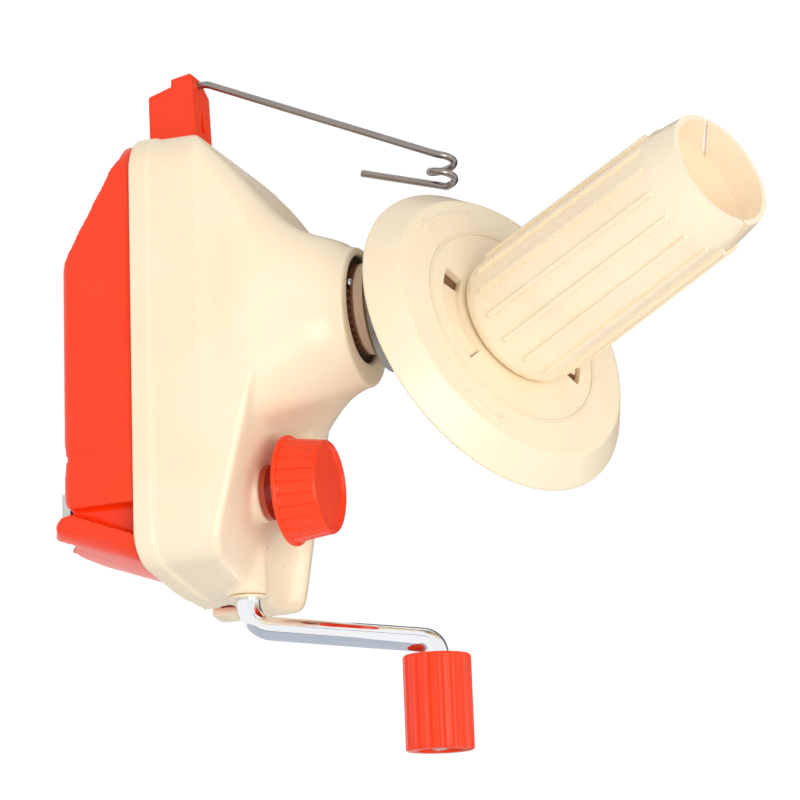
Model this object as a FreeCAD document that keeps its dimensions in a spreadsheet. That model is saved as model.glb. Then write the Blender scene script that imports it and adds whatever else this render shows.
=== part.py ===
import FreeCAD, Part
import math
import os
from types import SimpleNamespace

import Sketcher
from FreeCAD import Placement, Rotation, Vector

# A hand-driven winder for yarn balls that clamps to a table edge. Z is up, X points to the
# crank, the origin is where the spindle's vertical axis meets the table top. Turning the
# crank drives a bevel gear, the gear turns the rotor about the vertical axis, and a gear
# under the disc rolls round a fixed pinion, so the leaning spool turns slowly in the rotor.
SIZES = {
    # Housing, both halves.
    "seam_height": 24.7,
    "wall": 2.4,
    "half_depth": 36.0,
    "end_left": 52.6,
    "corner_left": 13.0,
    "end_right_near": 74.2,
    "end_right_middle": 80.9,
    "middle_y": -4.0,
    "end_right_waist": 81.9,
    "waist_y": 12.0,
    "end_right_far": 86.4,
    "corner_right": 11.0,
    "corner_far": 9.0,
    "crown_radius": 90.0,
    "waist_radius": 40.0,
    # Upper housing.
    "band_height": 5.7,
    "band_proud": 0.6,
    "shoulder_height": 46.0,
    "slope_left_end": 48.5,
    "slope_left_angle": 43.0,
    "roof_mid_height": 61.0,
    "roof_mid_half": 33.3,
    "shelf_edge": 28.2,
    "shelf_height": 60.0,
    "shelf_slope": 13.3,
    "ridge_crown_x": 33.0,
    "ridge_crown_z": 61.8,
    "ridge_end_x": 78.6,
    "ridge_end_z": 53.9,
    "ridge_rounding": 6.0,
    "ridge_far_y": 24.5,
    "ridge_fall": 0.33,
    "lip_radius": 20.9,
    "lip_centre": 2.4,
    "lip_bottom": 77.0,
    "lip_top": 84.4,
    "lip_rounding": 1.6,
    "mouth_radius": 16.0,
    "crank_boss_radius": 6.2,
    "crank_boss_start": 66.0,
    "crank_boss_face": 82.4,
    "knob_boss_radius": 8.6,
    "knob_boss_top": 55.6,
    "knob_boss_bottom": 49.6,
    "screw_post_radius": 4.0,
    "screw_post_left": 43.0,
    "screw_post_right": 43.0,
    "screw_post_y": 27.5,
    # Lower housing.
    "tray_inset": 1.0,
    "base_half": 32.0,
    "base_left": 14.5,
    "base_right": 54.0,
    "underside_left": 46.4,
    "underside_height": 20.6,
    "base_chamfer": 5.0,
    "end_wall_lean": 19.0,
    "end_wall_foot": 6.3,
    "end_wall_foot_x": 66.4,
    "end_wall_bend_x": 72.0,
    "end_wall_bend_z": 3.0,
    "fin_left": 59.3,
    "fin_foot": 2.0,
    "fin_rounding": 3.8,
    "base_rounding": 5.0,
    "stem_slot_left": 61.6,
    "stem_slot_right": 67.2,
    "stem_slot_front": 25.0,
    "stem_slot_back": 11.0,
    "scoop_left": 57.7,
    "scoop_right": 67.9,
    "scoop_depth": 7.0,
    "notch_left": 14.0,
    "notch_right": 20.5,
    "notch_top": 34.0,
    "tab_top": 36.0,
    "tab_thickness": 2.5,
    "tab_overlap": 2.0,
    "ledge_left": 70.0,
    "ledge_thickness": 2.0,
    "fit_gap": 0.3,
    "rib_pitch": 7.0,
    "rib_width": 1.6,
    "rib_depth": 0.5,
    "pedestal_x": 24.0,
    "pedestal_thickness": 5.0,
    "pedestal_half": 8.0,
    "post_boss_radius": 6.6,
    "post_boss_height": 22.0,
    "post_screw_height": 17.0,
    "post_screw_bite": 0.8,
    # Crank.
    "shaft_height": 45.0,
    "rod_radius": 3.5,
    "rod_start": 9.5,
    "rod_corner_x": 91.3,
    "rod_top_x": 99.8,
    "grip_height": 102.0,
    "rod_bend": 8.5,
    "rod_top_bend": 4.3,
    "grip_start": 103.8,
    "grip_length": 27.1,
    "grip_radius": 9.75,
    "grip_bore_gap": 0.08,
    "grip_recess_radius": 6.5,
    "grip_recess": 2.6,
    "bush_radius": 4.5,
    "bush_flange_radius": 5.8,
    "bush_flange": 0.8,
    # Running clearances.
    "run_gap": 0.08,
    "end_gap": 0.15,
    # Drive gears.
    "drive_teeth": 72,
    "spindle_teeth": 24,
    "drive_module": 0.8333,
    "drive_face": 6.3,
    "drive_hub_radius": 8.0,
    "drive_hub_end": 21.5,
    "drive_web": 2.5,
    "gear_pin_radius": 1.25,
    # Rotor.
    "post_radius": 4.0,
    "post_upper_radius": 3.0,
    "post_tip_radius": 1.6,
    "post_bottom": 12.0,
    "post_shoulder": 68.4,
    "post_second_shoulder": 104.55,
    "post_top": 112.0,
    "clip_height": 111.0,
    "clip_radius": 2.2,
    "collar_radius": 13.6,
    "collar_bottom": 82.8,
    "collar_seam": 85.0,
    "collar_top": 87.0,
    "collar_edge": 0.3,
    "collar_pin_radius": 0.65,
    "flange_low_radius": 15.4,
    "flange_top_radius": 19.4,
    "flange_top": 91.0,
    "flange_hollow_radius": 15.5,
    "arm_hub_radius": 7.0,
    "arm_hub_top": 95.0,
    "arm_width": 9.0,
    # Tilted spool axis.
    "cross_height": 146.5,
    "tilt": 33.18,
    "lean_azimuth": -124.9,
    "boss_radius": 7.0,
    "boss_low": 50.0,
    "boss_high": 38.0,
    "axle_radius": 3.0,
    "axle_end": 13.2,
    # Epicyclic pair.
    "sun_teeth": 10,
    "disc_teeth": 60,
    "sun_module": 0.6667,
    "sun_face": 6.0,
    "disc_hub_radius": 12.0,
    # Disc and spool, heights along the tilted axis from the crossing.
    "disc_face": 24.28,
    "disc_crease_radius": 43.2,
    "rim_radius": 51.0,
    "rim_drop": 8.55,
    "disc_wall": 2.4,
    "ring_radius": 31.35,
    "ring_width": 0.8,
    "ring_proud": 0.35,
    "slot_inner": 20.9,
    "slot_outer": 26.8,
    "slot_start": -8.0,
    "slot_end": 62.4,
    "hub_radius": 6.5,
    "hub_top": 14.0,
    "spool_foot_radius": 20.6,
    "spool_foot_rounding": 4.6,
    "spool_mouth_radius": 17.75,
    "spool_waist_radius": 19.2,
    "spool_waist": 51.0,
    "spool_top": 61.3,
    "spool_wall": 1.6,
    "spool_floor_radius": 14.5,
    "rib_start": 15.0,
    "rib_end": 50.5,
    "rib_proud": 1.1,
    "rib_thickness": 1.2,
    "rib_count": 16,
    "slit_width": 0.7,
    "slit_length": 28.0,
    # Clamp.
    "knob_x": 54.0,
    "knob_y": 9.0,
    "knob_base": 62.4,
    "knob_top": 75.0,
    "knob_base_radius": 16.2,
    "knob_top_radius": 13.6,
    "knob_flange": 1.4,
    "knob_dish": 1.0,
    "knob_dish_radius": 11.0,
    "knob_flutes": 40,
    "flute_radius": 0.7,
    "screw_radius": 3.0,
    "screw_bottom": 4.0,
    "screw_top": 71.0,
    "bush_ring_radius": 8.1,
    "bush_ring_top": 57.4,
    "jaw_thickness": 3.2,
    "jaw_front": 22.0,
    "jaw_back": 8.0,
    "jaw_foot_left": 51.0,
    "jaw_stem_right": 66.0,
    "jaw_foot_bottom": 4.2,
    "jaw_tab_top": 39.6,
    "jaw_tab_left": 46.0,
    "nut_flats": 10.0,
    "nut_height": 5.0,
    # Guide.
    "holder_y": 0.0,
    "holder_width": 13.0,
    "holder_pin_height": 28.5,
    "holder_pin_radius": 2.5,
    "wire_radius": 1.1,
    "wire_foot_x": 77.0,
    "wire_foot_y": 1.5,
    "wire_foot_z": 27.4,
    "wire_mouth_z": 36.0,
    "wire_bend": 4.0,
    "eye_radius": 3.8,
    "eye_left": 51.9,
    "eye_length": 8.0,
    "eye_y": 25.0,
    "eye_z": 102.1,
    "eye_turns": 1.5,
    "tail_left": 51.9,
    "tail_z": 74.9,
    # Screws of the housing.
    "fixing_radius": 1.5,
    "fixing_head_radius": 3.0,
    "fixing_head_height": 2.0,
    "fixing_head_z": 12.0,
    "fixing_left_head_z": 23.0,
    "fixing_depth": 11.0,
    "bore_gap": 0.02,
}

# Height, left, right, half depth and corner radius of the roof at each level, from the
# shoulder to the neck.
ROOF = [
    ("shoulder", 46.0, 49.0, 42.0, 36.0, 9.0),
    ("eaves", 53.5, 40.6, 38.0, 34.8, 12.0),
    ("middle", 61.0, 31.0, 33.4, 32.8, 15.0),
    ("waist", 68.0, 24.2, 29.4, 27.8, 18.0),
    ("throat", 75.0, 21.9, 26.0, 23.0, 20.0),
    ("neck", 82.0, 18.6, 23.4, 20.5, 19.8),
]
for level, height, left, right, half, corner in ROOF:
    SIZES["roof_" + level + "_height"] = height
    SIZES["roof_" + level + "_left"] = left
    SIZES["roof_" + level + "_right"] = right
    SIZES["roof_" + level + "_half"] = half
    SIZES["roof_" + level + "_corner"] = corner

os.makedirs("parts", exist_ok=True)
doc = FreeCAD.newDocument("ball_winder")
sheet = doc.addObject("Spreadsheet::Sheet", "Sizes")
for row, (name, number) in enumerate(SIZES.items(), start=1):
    sheet.set("A%d" % row, name)
    sheet.set("B%d" % row, str(number))
    sheet.setAlias("B%d" % row, name)
doc.recompute()


class Size:
    """A length or an angle: its number, and the formula of the sheet that gives it."""

    def __init__(self, number, formula):
        self.number = number
        self.formula = formula

    def __add__(self, other):
        other = as_size(other)
        return Size(self.number + other.number, "(%s + %s)" % (self.formula, other.formula))

    def __radd__(self, other):
        return as_size(other) + self

    def __sub__(self, other):
        other = as_size(other)
        return Size(self.number - other.number, "(%s - %s)" % (self.formula, other.formula))

    def __rsub__(self, other):
        return as_size(other) - self

    def __mul__(self, other):
        other = as_size(other)
        return Size(self.number * other.number, "(%s * %s)" % (self.formula, other.formula))

    def __rmul__(self, other):
        return as_size(other) * self

    def __truediv__(self, other):
        other = as_size(other)
        return Size(self.number / other.number, "(%s / %s)" % (self.formula, other.formula))

    def __neg__(self):
        return Size(-self.number, "(0 - %s)" % self.formula)


def as_size(value):
    return value if isinstance(value, Size) else Size(value, "%.6f" % value)


def sine(angle):
    return Size(math.sin(math.radians(angle.number)), "sin(%s)" % angle.formula)


def cosine(angle):
    return Size(math.cos(math.radians(angle.number)), "cos(%s)" % angle.formula)


def tangent(angle):
    return Size(math.tan(math.radians(angle.number)), "tan(%s)" % angle.formula)


s = SimpleNamespace(**{name: Size(sheet.get(name), "Sizes." + name) for name in SIZES})
zero = Size(0.0, "0")


# Sketches.
def add_rule(sketch, rule, formula=None):
    index = sketch.addConstraint(rule)
    if formula is not None:
        sketch.setExpression("Constraints[%d]" % index, formula)


def hold(sketch, item, end, u, v):
    """Holds a point at its two distances from the origin of the sketch."""
    add_rule(sketch, Sketcher.Constraint("DistanceX", -1, 1, item, end, u.number), u.formula)
    add_rule(sketch, Sketcher.Constraint("DistanceY", -1, 1, item, end, v.number), v.formula)


def draw(sketch, corners):
    """Draws a closed outline. A corner with a third value is rounded with that radius."""
    corners = [tuple(as_size(value) for value in corner) for corner in corners]
    count = len(corners)
    tips = [Vector(corner[0].number, corner[1].number, 0) for corner in corners]
    arrive = []
    leave = []
    arcs = []
    for i, tip in enumerate(tips):
        if len(corners[i]) < 3:
            arrive.append(tip)
            leave.append(tip)
            arcs.append(None)
            continue
        radius = corners[i][2].number
        before = (tips[i - 1] - tip).normalize()
        after = (tips[(i + 1) % count] - tip).normalize()
        half = before.getAngle(after) / 2
        start = tip + before * (radius / math.tan(half))
        end = tip + after * (radius / math.tan(half))
        centre = tip + (before + after).normalize() * (radius / math.sin(half))
        left_turn = before.cross(after).z < 0
        arrive.append(start)
        leave.append(end)
        arcs.append((centre, radius, start, end, left_turn))
    for i in range(count):
        sketch.addGeometry(Part.LineSegment(leave[i], arrive[(i + 1) % count]))
    for i, arc in enumerate(arcs):
        if arc is None:
            add_rule(sketch, Sketcher.Constraint("Coincident", (i - 1) % count, 2, i, 1))
            hold(sketch, i, 1, corners[i][0], corners[i][1])
            continue
        centre, radius, start, end, left_turn = arc
        first, last = (start, end) if left_turn else (end, start)
        from_angle = math.atan2(first.y - centre.y, first.x - centre.x)
        to_angle = math.atan2(last.y - centre.y, last.x - centre.x)
        if to_angle < from_angle:
            to_angle += 2 * math.pi
        circle = Part.Circle(centre, Vector(0, 0, 1), radius)
        item = sketch.addGeometry(Part.ArcOfCircle(circle, from_angle, to_angle))
        point = sketch.addGeometry(Part.Point(tips[i]), True)
        hold(sketch, point, 1, corners[i][0], corners[i][1])
        add_rule(sketch, Sketcher.Constraint("PointOnObject", point, 1, (i - 1) % count))
        add_rule(sketch, Sketcher.Constraint("PointOnObject", point, 1, i))
        near, far = (1, 2) if left_turn else (2, 1)
        add_rule(sketch, Sketcher.Constraint("Tangent", (i - 1) % count, 2, item, near))
        add_rule(sketch, Sketcher.Constraint("Tangent", item, far, i, 1))
        rule = Sketcher.Constraint("Radius", item, radius)
        add_rule(sketch, rule, corners[i][2].formula)


def draw_circle(sketch, u, v, radius):
    u, v, radius = as_size(u), as_size(v), as_size(radius)
    centre = Vector(u.number, v.number, 0)
    item = sketch.addGeometry(Part.Circle(centre, Vector(0, 0, 1), radius.number))
    hold(sketch, item, 3, u, v)
    add_rule(sketch, Sketcher.Constraint("Radius", item, radius.number), radius.formula)


# Bodies of sketched features.
def new_body(label):
    body = doc.addObject("PartDesign::Body", label)
    body.Label = label
    return body


def sketch_in(body, role, offset=None):
    """A sketch on a plane of the body, moved along the plane's normal."""
    sketch = body.newObject("Sketcher::SketchObject", "Outline")
    planes = [item for item in body.Origin.OriginFeatures if item.Role == role]
    sketch.AttachmentSupport = [(planes[0], "")]
    sketch.MapMode = "FlatFace"
    if offset is not None:
        sketch.setExpression("AttachmentOffset.Base.z", as_size(offset).formula)
    return sketch


def pad(body, sketch, length, centred=False, back=False):
    feature = body.newObject("PartDesign::Pad", "Pad")
    feature.Profile = sketch
    feature.setExpression("Length", as_size(length).formula)
    feature.Midplane = centred
    feature.Reversed = back
    return feature


def cut_by(body, kind, sketch, **settings):
    """A feature that takes material away. It is turned round if it removes none."""
    doc.recompute()
    before = body.Shape.Volume
    feature = body.newObject(kind, "Cut")
    feature.Profile = sketch
    for name, value in settings.items():
        if isinstance(value, Size):
            feature.setExpression(name, value.formula)
        else:
            setattr(feature, name, value)
    doc.recompute()
    if body.Shape.Volume > before * (1 - 1e-9):
        feature.Reversed = not feature.Reversed
        doc.recompute()
    if body.Shape.Volume > before * (1 - 1e-9):
        raise ValueError(body.Label + ": a cut removes nothing")
    return feature


def pocket(body, sketch, length, centred=False):
    return cut_by(body, "PartDesign::Pocket", sketch, Length=as_size(length), Midplane=centred)


def turned(label, outlines, placement=None):
    """A body turned about its own Z axis from outlines of radius and height."""
    body = new_body(label)
    for outline in outlines:
        sketch = sketch_in(body, "XZ_Plane")
        draw(sketch, outline)
        feature = body.newObject("PartDesign::Revolution", "Turned")
        feature.Profile = sketch
        feature.ReferenceAxis = (sketch, ["V_Axis"])
        feature.Angle = 360
    if placement is not None:
        body.Placement = placement
    return body


def around(body, feature, count):
    """Repeats a feature round the body's Z axis."""
    pattern = body.newObject("PartDesign::PolarPattern", "Around")
    pattern.Originals = [feature]
    axes = [item for item in body.Origin.OriginFeatures if item.Role == "Z_Axis"]
    pattern.Axis = (axes[0], [""])
    pattern.Angle = 360
    pattern.setExpression("Occurrences", as_size(count).formula)
    body.Tip = pattern
    return pattern


def tube(label, inner, outer, bottom, top, placement=None):
    corners = [(inner, bottom), (outer, bottom), (outer, top), (inner, top)]
    return turned(label, [corners], placement)


# Loose sketches, prisms and booleans.
TOP = Placement()
SIDE = Placement(Vector(), Rotation(Vector(1, 0, 0), 90))
END = Placement(Vector(), Rotation(Vector(1, 1, 1), 120))


def loose_sketch(name, view, corners, height=None):
    sketch = doc.addObject("Sketcher::SketchObject", name)
    sketch.Placement = view
    if height is not None:
        sketch.setExpression("Placement.Base.z", as_size(height).formula)
    draw(sketch, corners)
    return sketch


def prism(name, sketch, forward, backward=zero, direction=None):
    solid = doc.addObject("Part::Extrusion", name)
    solid.Base = sketch
    solid.Solid = True
    solid.DirMode = "Custom" if direction else "Normal"
    if direction:
        solid.Dir = direction
    solid.setExpression("LengthFwd", as_size(forward).formula)
    solid.setExpression("LengthRev", as_size(backward).formula)
    return solid


def cylinder(name, radius, height, x, y, z, turn=None):
    solid = doc.addObject("Part::Cylinder", name)
    if turn is not None:
        solid.Placement = Placement(Vector(), turn)
    solid.setExpression("Radius", as_size(radius).formula)
    solid.setExpression("Height", as_size(height).formula)
    for axis, size in zip("xyz", (x, y, z)):
        solid.setExpression("Placement.Base." + axis, as_size(size).formula)
    return solid


def box(name, length, width, height, x, y, z):
    solid = doc.addObject("Part::Box", name)
    for side, size in zip(("Length", "Width", "Height"), (length, width, height)):
        solid.setExpression(side, as_size(size).formula)
    for axis, size in zip("xyz", (x, y, z)):
        solid.setExpression("Placement.Base." + axis, as_size(size).formula)
    return solid


def fuse(name, shapes):
    solid = doc.addObject("Part::MultiFuse", name)
    solid.Shapes = shapes
    solid.Refine = True
    return solid


def common(name, shapes):
    solid = doc.addObject("Part::MultiCommon", name)
    solid.Shapes = shapes
    return solid


def cut(name, base, tool):
    solid = doc.addObject("Part::Cut", name)
    solid.Base = base
    solid.Tool = tool
    solid.Refine = True
    return solid


ALONG_X = Rotation(Vector(0, 1, 0), 90)


# Upper housing: a hollow moulding, open below, with a neck round the rotor, a sloping
# shelf for the clamp knob and a raised band along the seam.
def plan_corners(inset):
    left = -s.end_left + inset
    half = s.half_depth - inset
    return [
        (left, -half, s.corner_left - inset),
        (s.end_right_near - inset, -half, s.corner_right - inset),
        (s.end_right_middle - inset, s.middle_y, s.crown_radius - inset),
        (s.end_right_waist - inset, s.waist_y, s.waist_radius + inset),
        (s.end_right_far - inset, half, s.corner_far - inset),
        (left, half, s.corner_left - inset),
    ]


def upper_form(name, inset, floor):
    """The outer form for an inset of zero, the hollow for an inset of one wall."""
    plan = prism(
        name + "Plan",
        loose_sketch(name + "PlanLine", TOP, plan_corners(inset), floor),
        60 * as_size(1.0),
    )
    end = s.end_right_far + 7
    drop = tangent(s.shelf_slope)
    shelf_left = as_size(22.0)
    shelf_low = s.shelf_height - inset - (end - s.shelf_edge) * drop
    shelf_high = s.shelf_height - inset + (s.shelf_edge - shelf_left) * drop
    reach = s.end_left + 1 - s.slope_left_end
    side = [
        (-s.end_left - 1, floor),
        (end, floor),
        (end, shelf_low),
        (shelf_left, shelf_high),
        (shelf_left, s.shoulder_height),
        (-s.slope_left_end + inset, s.shoulder_height),
        (-s.end_left - 1 + inset, s.shoulder_height - reach * tangent(s.slope_left_angle)),
    ]
    side_prism = prism(name + "Side", loose_sketch(name + "SideLine", SIDE, side), 50, 50)
    lean = (s.half_depth - s.roof_mid_half) / (s.roof_mid_height - s.shoulder_height)
    low_half = s.half_depth - inset + 5 * lean
    front = [
        (-low_half, floor),
        (low_half, floor),
        (low_half, s.shoulder_height - 5),
        (s.roof_mid_half - inset, s.roof_mid_height),
        (as_size(26.0) - inset, as_size(71.0)),
        (as_size(-26.0) + inset, as_size(71.0)),
        (-s.roof_mid_half + inset, s.roof_mid_height),
        (-low_half, s.shoulder_height - 5),
    ]
    front_prism = prism(name + "Front", loose_sketch(name + "FrontLine", END, front), 110, 80)
    block = common(name + "Block", [plan, side_prism, front_prism])
    ridge_plan = [
        (as_size(18.0), as_size(-4.0) + inset),
        (as_size(35.0), as_size(12.0) + inset, as_size(12.0)),
        (as_size(54.0), as_size(20.5) + inset, as_size(18.0)),
        (as_size(70.0), as_size(24.5) + inset, as_size(20.0)),
        (end, as_size(25.5) + inset),
        (end, as_size(40.0)),
        (as_size(18.0), as_size(40.0)),
    ]
    ridge_stand = prism(
        name + "RidgeStand", loose_sketch(name + "RidgePlan", TOP, ridge_plan, 38), 40
    )
    ridge_side = [
        (as_size(14.0), as_size(38.0)),
        (end, as_size(38.0)),
        (end, s.ridge_end_z - inset - 12),
        (s.ridge_end_x + 3, s.ridge_end_z - inset - 1, s.ridge_rounding - inset),
        (s.ridge_crown_x, s.ridge_crown_z - inset, as_size(40.0)),
        (as_size(14.0), as_size(72.0) - inset),
    ]
    ridge_prism = prism(
        name + "RidgeSide", loose_sketch(name + "RidgeLine", SIDE, ridge_side), 50, 50
    )
    ridge_drop = (s.ridge_crown_z - s.ridge_end_z) / (s.ridge_end_x - s.ridge_crown_x)
    ridge_peak = s.ridge_crown_z - inset + s.ridge_crown_x * ridge_drop
    fall_line = [
        (as_size(-45.0), as_size(0.0)),
        (as_size(45.0), as_size(0.0)),
        (as_size(45.0), ridge_peak - (45 - s.ridge_far_y) * s.ridge_fall),
        (s.ridge_far_y, ridge_peak, as_size(12.0)),
        (s.ridge_far_y - 16, ridge_peak + 14),
        (as_size(-45.0), ridge_peak + 14),
    ]
    ridge_way = Vector(1, 0, -ridge_drop.number).normalize()
    ridge_fall = prism(
        name + "RidgeFall", loose_sketch(name + "FallLine", END, fall_line), 110, 20, ridge_way
    )
    ridge = common(
        name + "Ridge", [ridge_stand, ridge_prism, plan, front_prism, ridge_fall]
    )
    levels = []
    for level, *_ in ROOF:
        height = getattr(s, "roof_" + level + "_height")
        left = -getattr(s, "roof_" + level + "_left") + inset
        right = getattr(s, "roof_" + level + "_right") - inset
        half = getattr(s, "roof_" + level + "_half") - inset
        corner = getattr(s, "roof_" + level + "_corner") - inset
        corners = [
            (left, -half, corner),
            (right, -half, corner),
            (right, half, corner),
            (left, half, corner),
        ]
        levels.append(loose_sketch(name + "Level", TOP, corners, height))
    roof = doc.addObject("Part::Loft", name + "Roof")
    roof.Sections = levels
    roof.Solid = True
    return [block, ridge, roof]


outer = upper_form("Outer", zero, s.seam_height)
band = prism(
    "Band",
    loose_sketch("BandLine", TOP, plan_corners(-s.band_proud), s.seam_height),
    s.band_height,
)
lip = cylinder(
    "Lip", s.lip_radius, s.lip_top - s.lip_bottom, s.lip_centre, zero, s.lip_bottom
)
crank_boss = cylinder(
    "CrankBoss",
    s.crank_boss_radius,
    s.crank_boss_face - s.crank_boss_start,
    s.crank_boss_start,
    zero,
    s.shaft_height,
    ALONG_X,
)
knob_boss = cylinder(
    "KnobBoss",
    s.knob_boss_radius,
    s.knob_boss_top - s.knob_boss_bottom,
    s.knob_x,
    -s.knob_y,
    s.knob_boss_bottom,
)
upper_solid = fuse("UpperSolid", outer + [band, lip, crank_boss, knob_boss])
hollow = upper_form("Inner", s.wall, s.seam_height - 1)
bore = cylinder("Mouth", s.mouth_radius, as_size(40.0), zero, zero, as_size(60.0))
hollow_solid = fuse("HollowSolid", hollow + [bore])
hollow_shell = cut("UpperShell", upper_solid, hollow_solid)
FIXINGS = []
for y in (-s.screw_post_y, s.screw_post_y):
    FIXINGS.append((-s.screw_post_left, y, s.fixing_left_head_z))
    FIXINGS.append((s.screw_post_right, y, s.fixing_head_z))
posts = []
for x in (-s.screw_post_left, s.screw_post_right):
    for y in (-s.screw_post_y, s.screw_post_y):
        posts.append(
            cylinder("Post", s.screw_post_radius, as_size(36.0), x, y, s.seam_height)
        )
posts_inside = common("PostsInside", [fuse("Posts", posts), upper_solid])
crank_post = cylinder(
    "CrankPost",
    s.crank_boss_radius,
    s.crank_boss_face - s.crank_boss_start,
    s.crank_boss_start,
    zero,
    s.shaft_height,
    ALONG_X,
)
crank_post_inside = common("CrankPostInside", [crank_post, upper_solid])
upper_full = fuse("UpperFull", [hollow_shell, posts_inside, knob_boss, crank_post_inside])
upper_holes = [
    cylinder(
        "CrankHole",
        s.bush_radius,
        as_size(40.0),
        s.crank_boss_start - 8,
        zero,
        s.shaft_height,
        ALONG_X,
    ),
    cylinder(
        "KnobHole",
        s.screw_radius + s.run_gap + 1.6,
        as_size(40.0),
        s.knob_x,
        -s.knob_y,
        as_size(35.0),
    ),
    cylinder(
        "KnobSeat",
        s.bush_ring_radius + 0.4,
        as_size(10.0),
        s.knob_x,
        -s.knob_y,
        s.knob_boss_top,
    ),
    cylinder(
        "GuideHole",
        s.holder_pin_radius + s.run_gap,
        as_size(10.0),
        -s.end_left - 4,
        s.holder_y,
        s.holder_pin_height,
        ALONG_X,
    ),
]
upper_holes.append(
    box(
        "Notch",
        as_size(20.0),
        s.notch_right - s.notch_left,
        s.notch_top - s.seam_height + 1,
        s.end_right_middle - 6,
        s.notch_left,
        s.seam_height - 1,
    )
)
for x in (-s.screw_post_left, s.screw_post_right):
    for y in (-s.screw_post_y, s.screw_post_y):
        upper_holes.append(
            cylinder("Pilot", s.fixing_radius, as_size(14.0), x, y, s.seam_height - 1)
        )
upper_housing = cut("UpperHousing", upper_full, fuse("UpperHoles", upper_holes))
upper_housing.Label = "upper_housing"


# Lower housing: a tray that carries the post and the inner bearing, and stands on the table
# with its base; its leaning end wall hides the jaw's stem.
def lower_form(name, inset, top):
    left = -s.end_left + s.tray_inset + inset
    half = s.half_depth - s.tray_inset - inset
    corner = s.corner_left - s.tray_inset - inset
    far = as_size(150.0)
    plan = [
        (left, -half, corner),
        (far, -half),
        (far, half),
        (left, half, corner),
    ]
    plan_prism = prism(
        name + "Plan", loose_sketch(name + "PlanLine", TOP, plan, as_size(-20.0)), top + 20
    )
    side_x = s.end_right_near - s.tray_inset - inset
    crown_x = s.end_right_middle - s.tray_inset - inset
    round_corner = s.corner_right - s.tray_inset - inset
    end_plan = [
        (-far, -half),
        (side_x, -half, round_corner),
        (crown_x, s.middle_y, s.crown_radius),
        (side_x, half, round_corner),
        (-far, half),
    ]
    lean = Vector(
        math.sin(math.radians(s.end_wall_lean.number)),
        0,
        math.cos(math.radians(s.end_wall_lean.number)),
    )
    end_prism = prism(
        name + "End", loose_sketch(name + "EndLine", TOP, end_plan, top), 0.01, 45, lean
    )
    low_half = s.base_half - inset
    step = s.base_chamfer * 0.6 + inset
    foot_end = s.base_right + s.base_chamfer
    block_side = [
        (left - 1, top),
        (left - 1, s.underside_height + inset),
        (-s.underside_left + 0.6 * inset, s.underside_height + inset),
        (-s.base_left + 0.3 * inset, inset),
        (s.base_right, inset),
        (foot_end, step),
    ]
    block_front = [
        (-half - 0.5, top),
        (-low_half, inset, s.base_rounding - inset),
        (low_half, inset, s.base_rounding - inset),
        (half + 0.5, top),
    ]
    if inset is zero:
        block_end = s.fin_left + 3
        block_side += [(block_end, step), (block_end, top)]
    else:
        block_side += [(as_size(90.0), step), (as_size(90.0), top)]
    pieces = [("Block", block_side, block_front)]
    if inset is zero:
        fin_side = [
            (s.fin_left - 1.5, top),
            (s.fin_left - 1.5, step + 1),
            (s.fin_left, step + 1),
            (s.fin_left, -s.fin_foot, s.fin_rounding),
            (s.end_wall_foot_x + 2.0, -s.fin_foot),
            (s.end_wall_bend_x, s.end_wall_bend_z),
            (as_size(90.0), as_size(50.0)),
            (s.fin_left + 1, as_size(50.0)),
            (s.fin_left + 1, top),
        ]
        fin_front = [
            (-half - 0.5, top),
            (-low_half, zero),
            (-low_half + 1, -s.fin_foot - 1, as_size(1.0)),
            (low_half - 1, -s.fin_foot - 1, as_size(1.0)),
            (low_half, zero),
            (half + 0.5, top),
        ]
        pieces.append(("Fin", fin_side, fin_front))
        foot_side = [
            (s.stem_slot_left + 1.4, as_size(0.5)),
            (s.stem_slot_left + 1.4, -s.end_wall_foot, as_size(1.0)),
            (s.end_wall_foot_x, -s.end_wall_foot, as_size(1.5)),
            (s.end_wall_foot_x + 3.5, as_size(0.5)),
        ]
        foot_front = [
            (-low_half + 2, as_size(0.7)),
            (-low_half + 2, -s.fin_foot + 0.4),
            (-low_half + 9, -s.end_wall_foot, as_size(3.0)),
            (low_half - 9, -s.end_wall_foot, as_size(3.0)),
            (low_half - 2, -s.fin_foot + 0.4),
            (low_half - 2, as_size(0.7)),
        ]
        pieces.append(("Foot", foot_side, foot_front))
    scoop_line = [
        (s.scoop_left - inset, as_size(-10.0)),
        (s.scoop_left - inset, top + 2),
        (s.scoop_right + inset, top + 2),
        (s.fin_left + inset - 0.3, step),
        (s.fin_left + inset - 0.3, as_size(-10.0)),
    ]
    depth = s.half_depth - s.scoop_depth - inset
    scoops = fuse(
        name + "Scoops",
        [
            prism(
                name + "Scoop",
                loose_sketch(name + "ScoopLine", SIDE, scoop_line),
                forward,
                backward,
            )
            for forward, backward in ((as_size(50.0), -depth), (-depth, as_size(50.0)))
        ],
    )
    shapes = []
    for part, side, front in pieces:
        part = name + part
        across = prism(part + "Side", loose_sketch(part + "SideLine", SIDE, side), 50, 50)
        along = prism(part + "Front", loose_sketch(part + "FrontLine", END, front), 110, 80)
        whole = common(part, [plan_prism, end_prism, across, along])
        shapes.append(cut(part + "Scooped", whole, scoops))
    return fuse(name, shapes) if len(shapes) > 1 else shapes[0]


tray = lower_form("Tray", zero, s.seam_height)
tray_hollow = lower_form("TrayHollow", s.wall, s.seam_height + 0.01)
tray_shell = cut("TrayShell", tray, tray_hollow)

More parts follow.
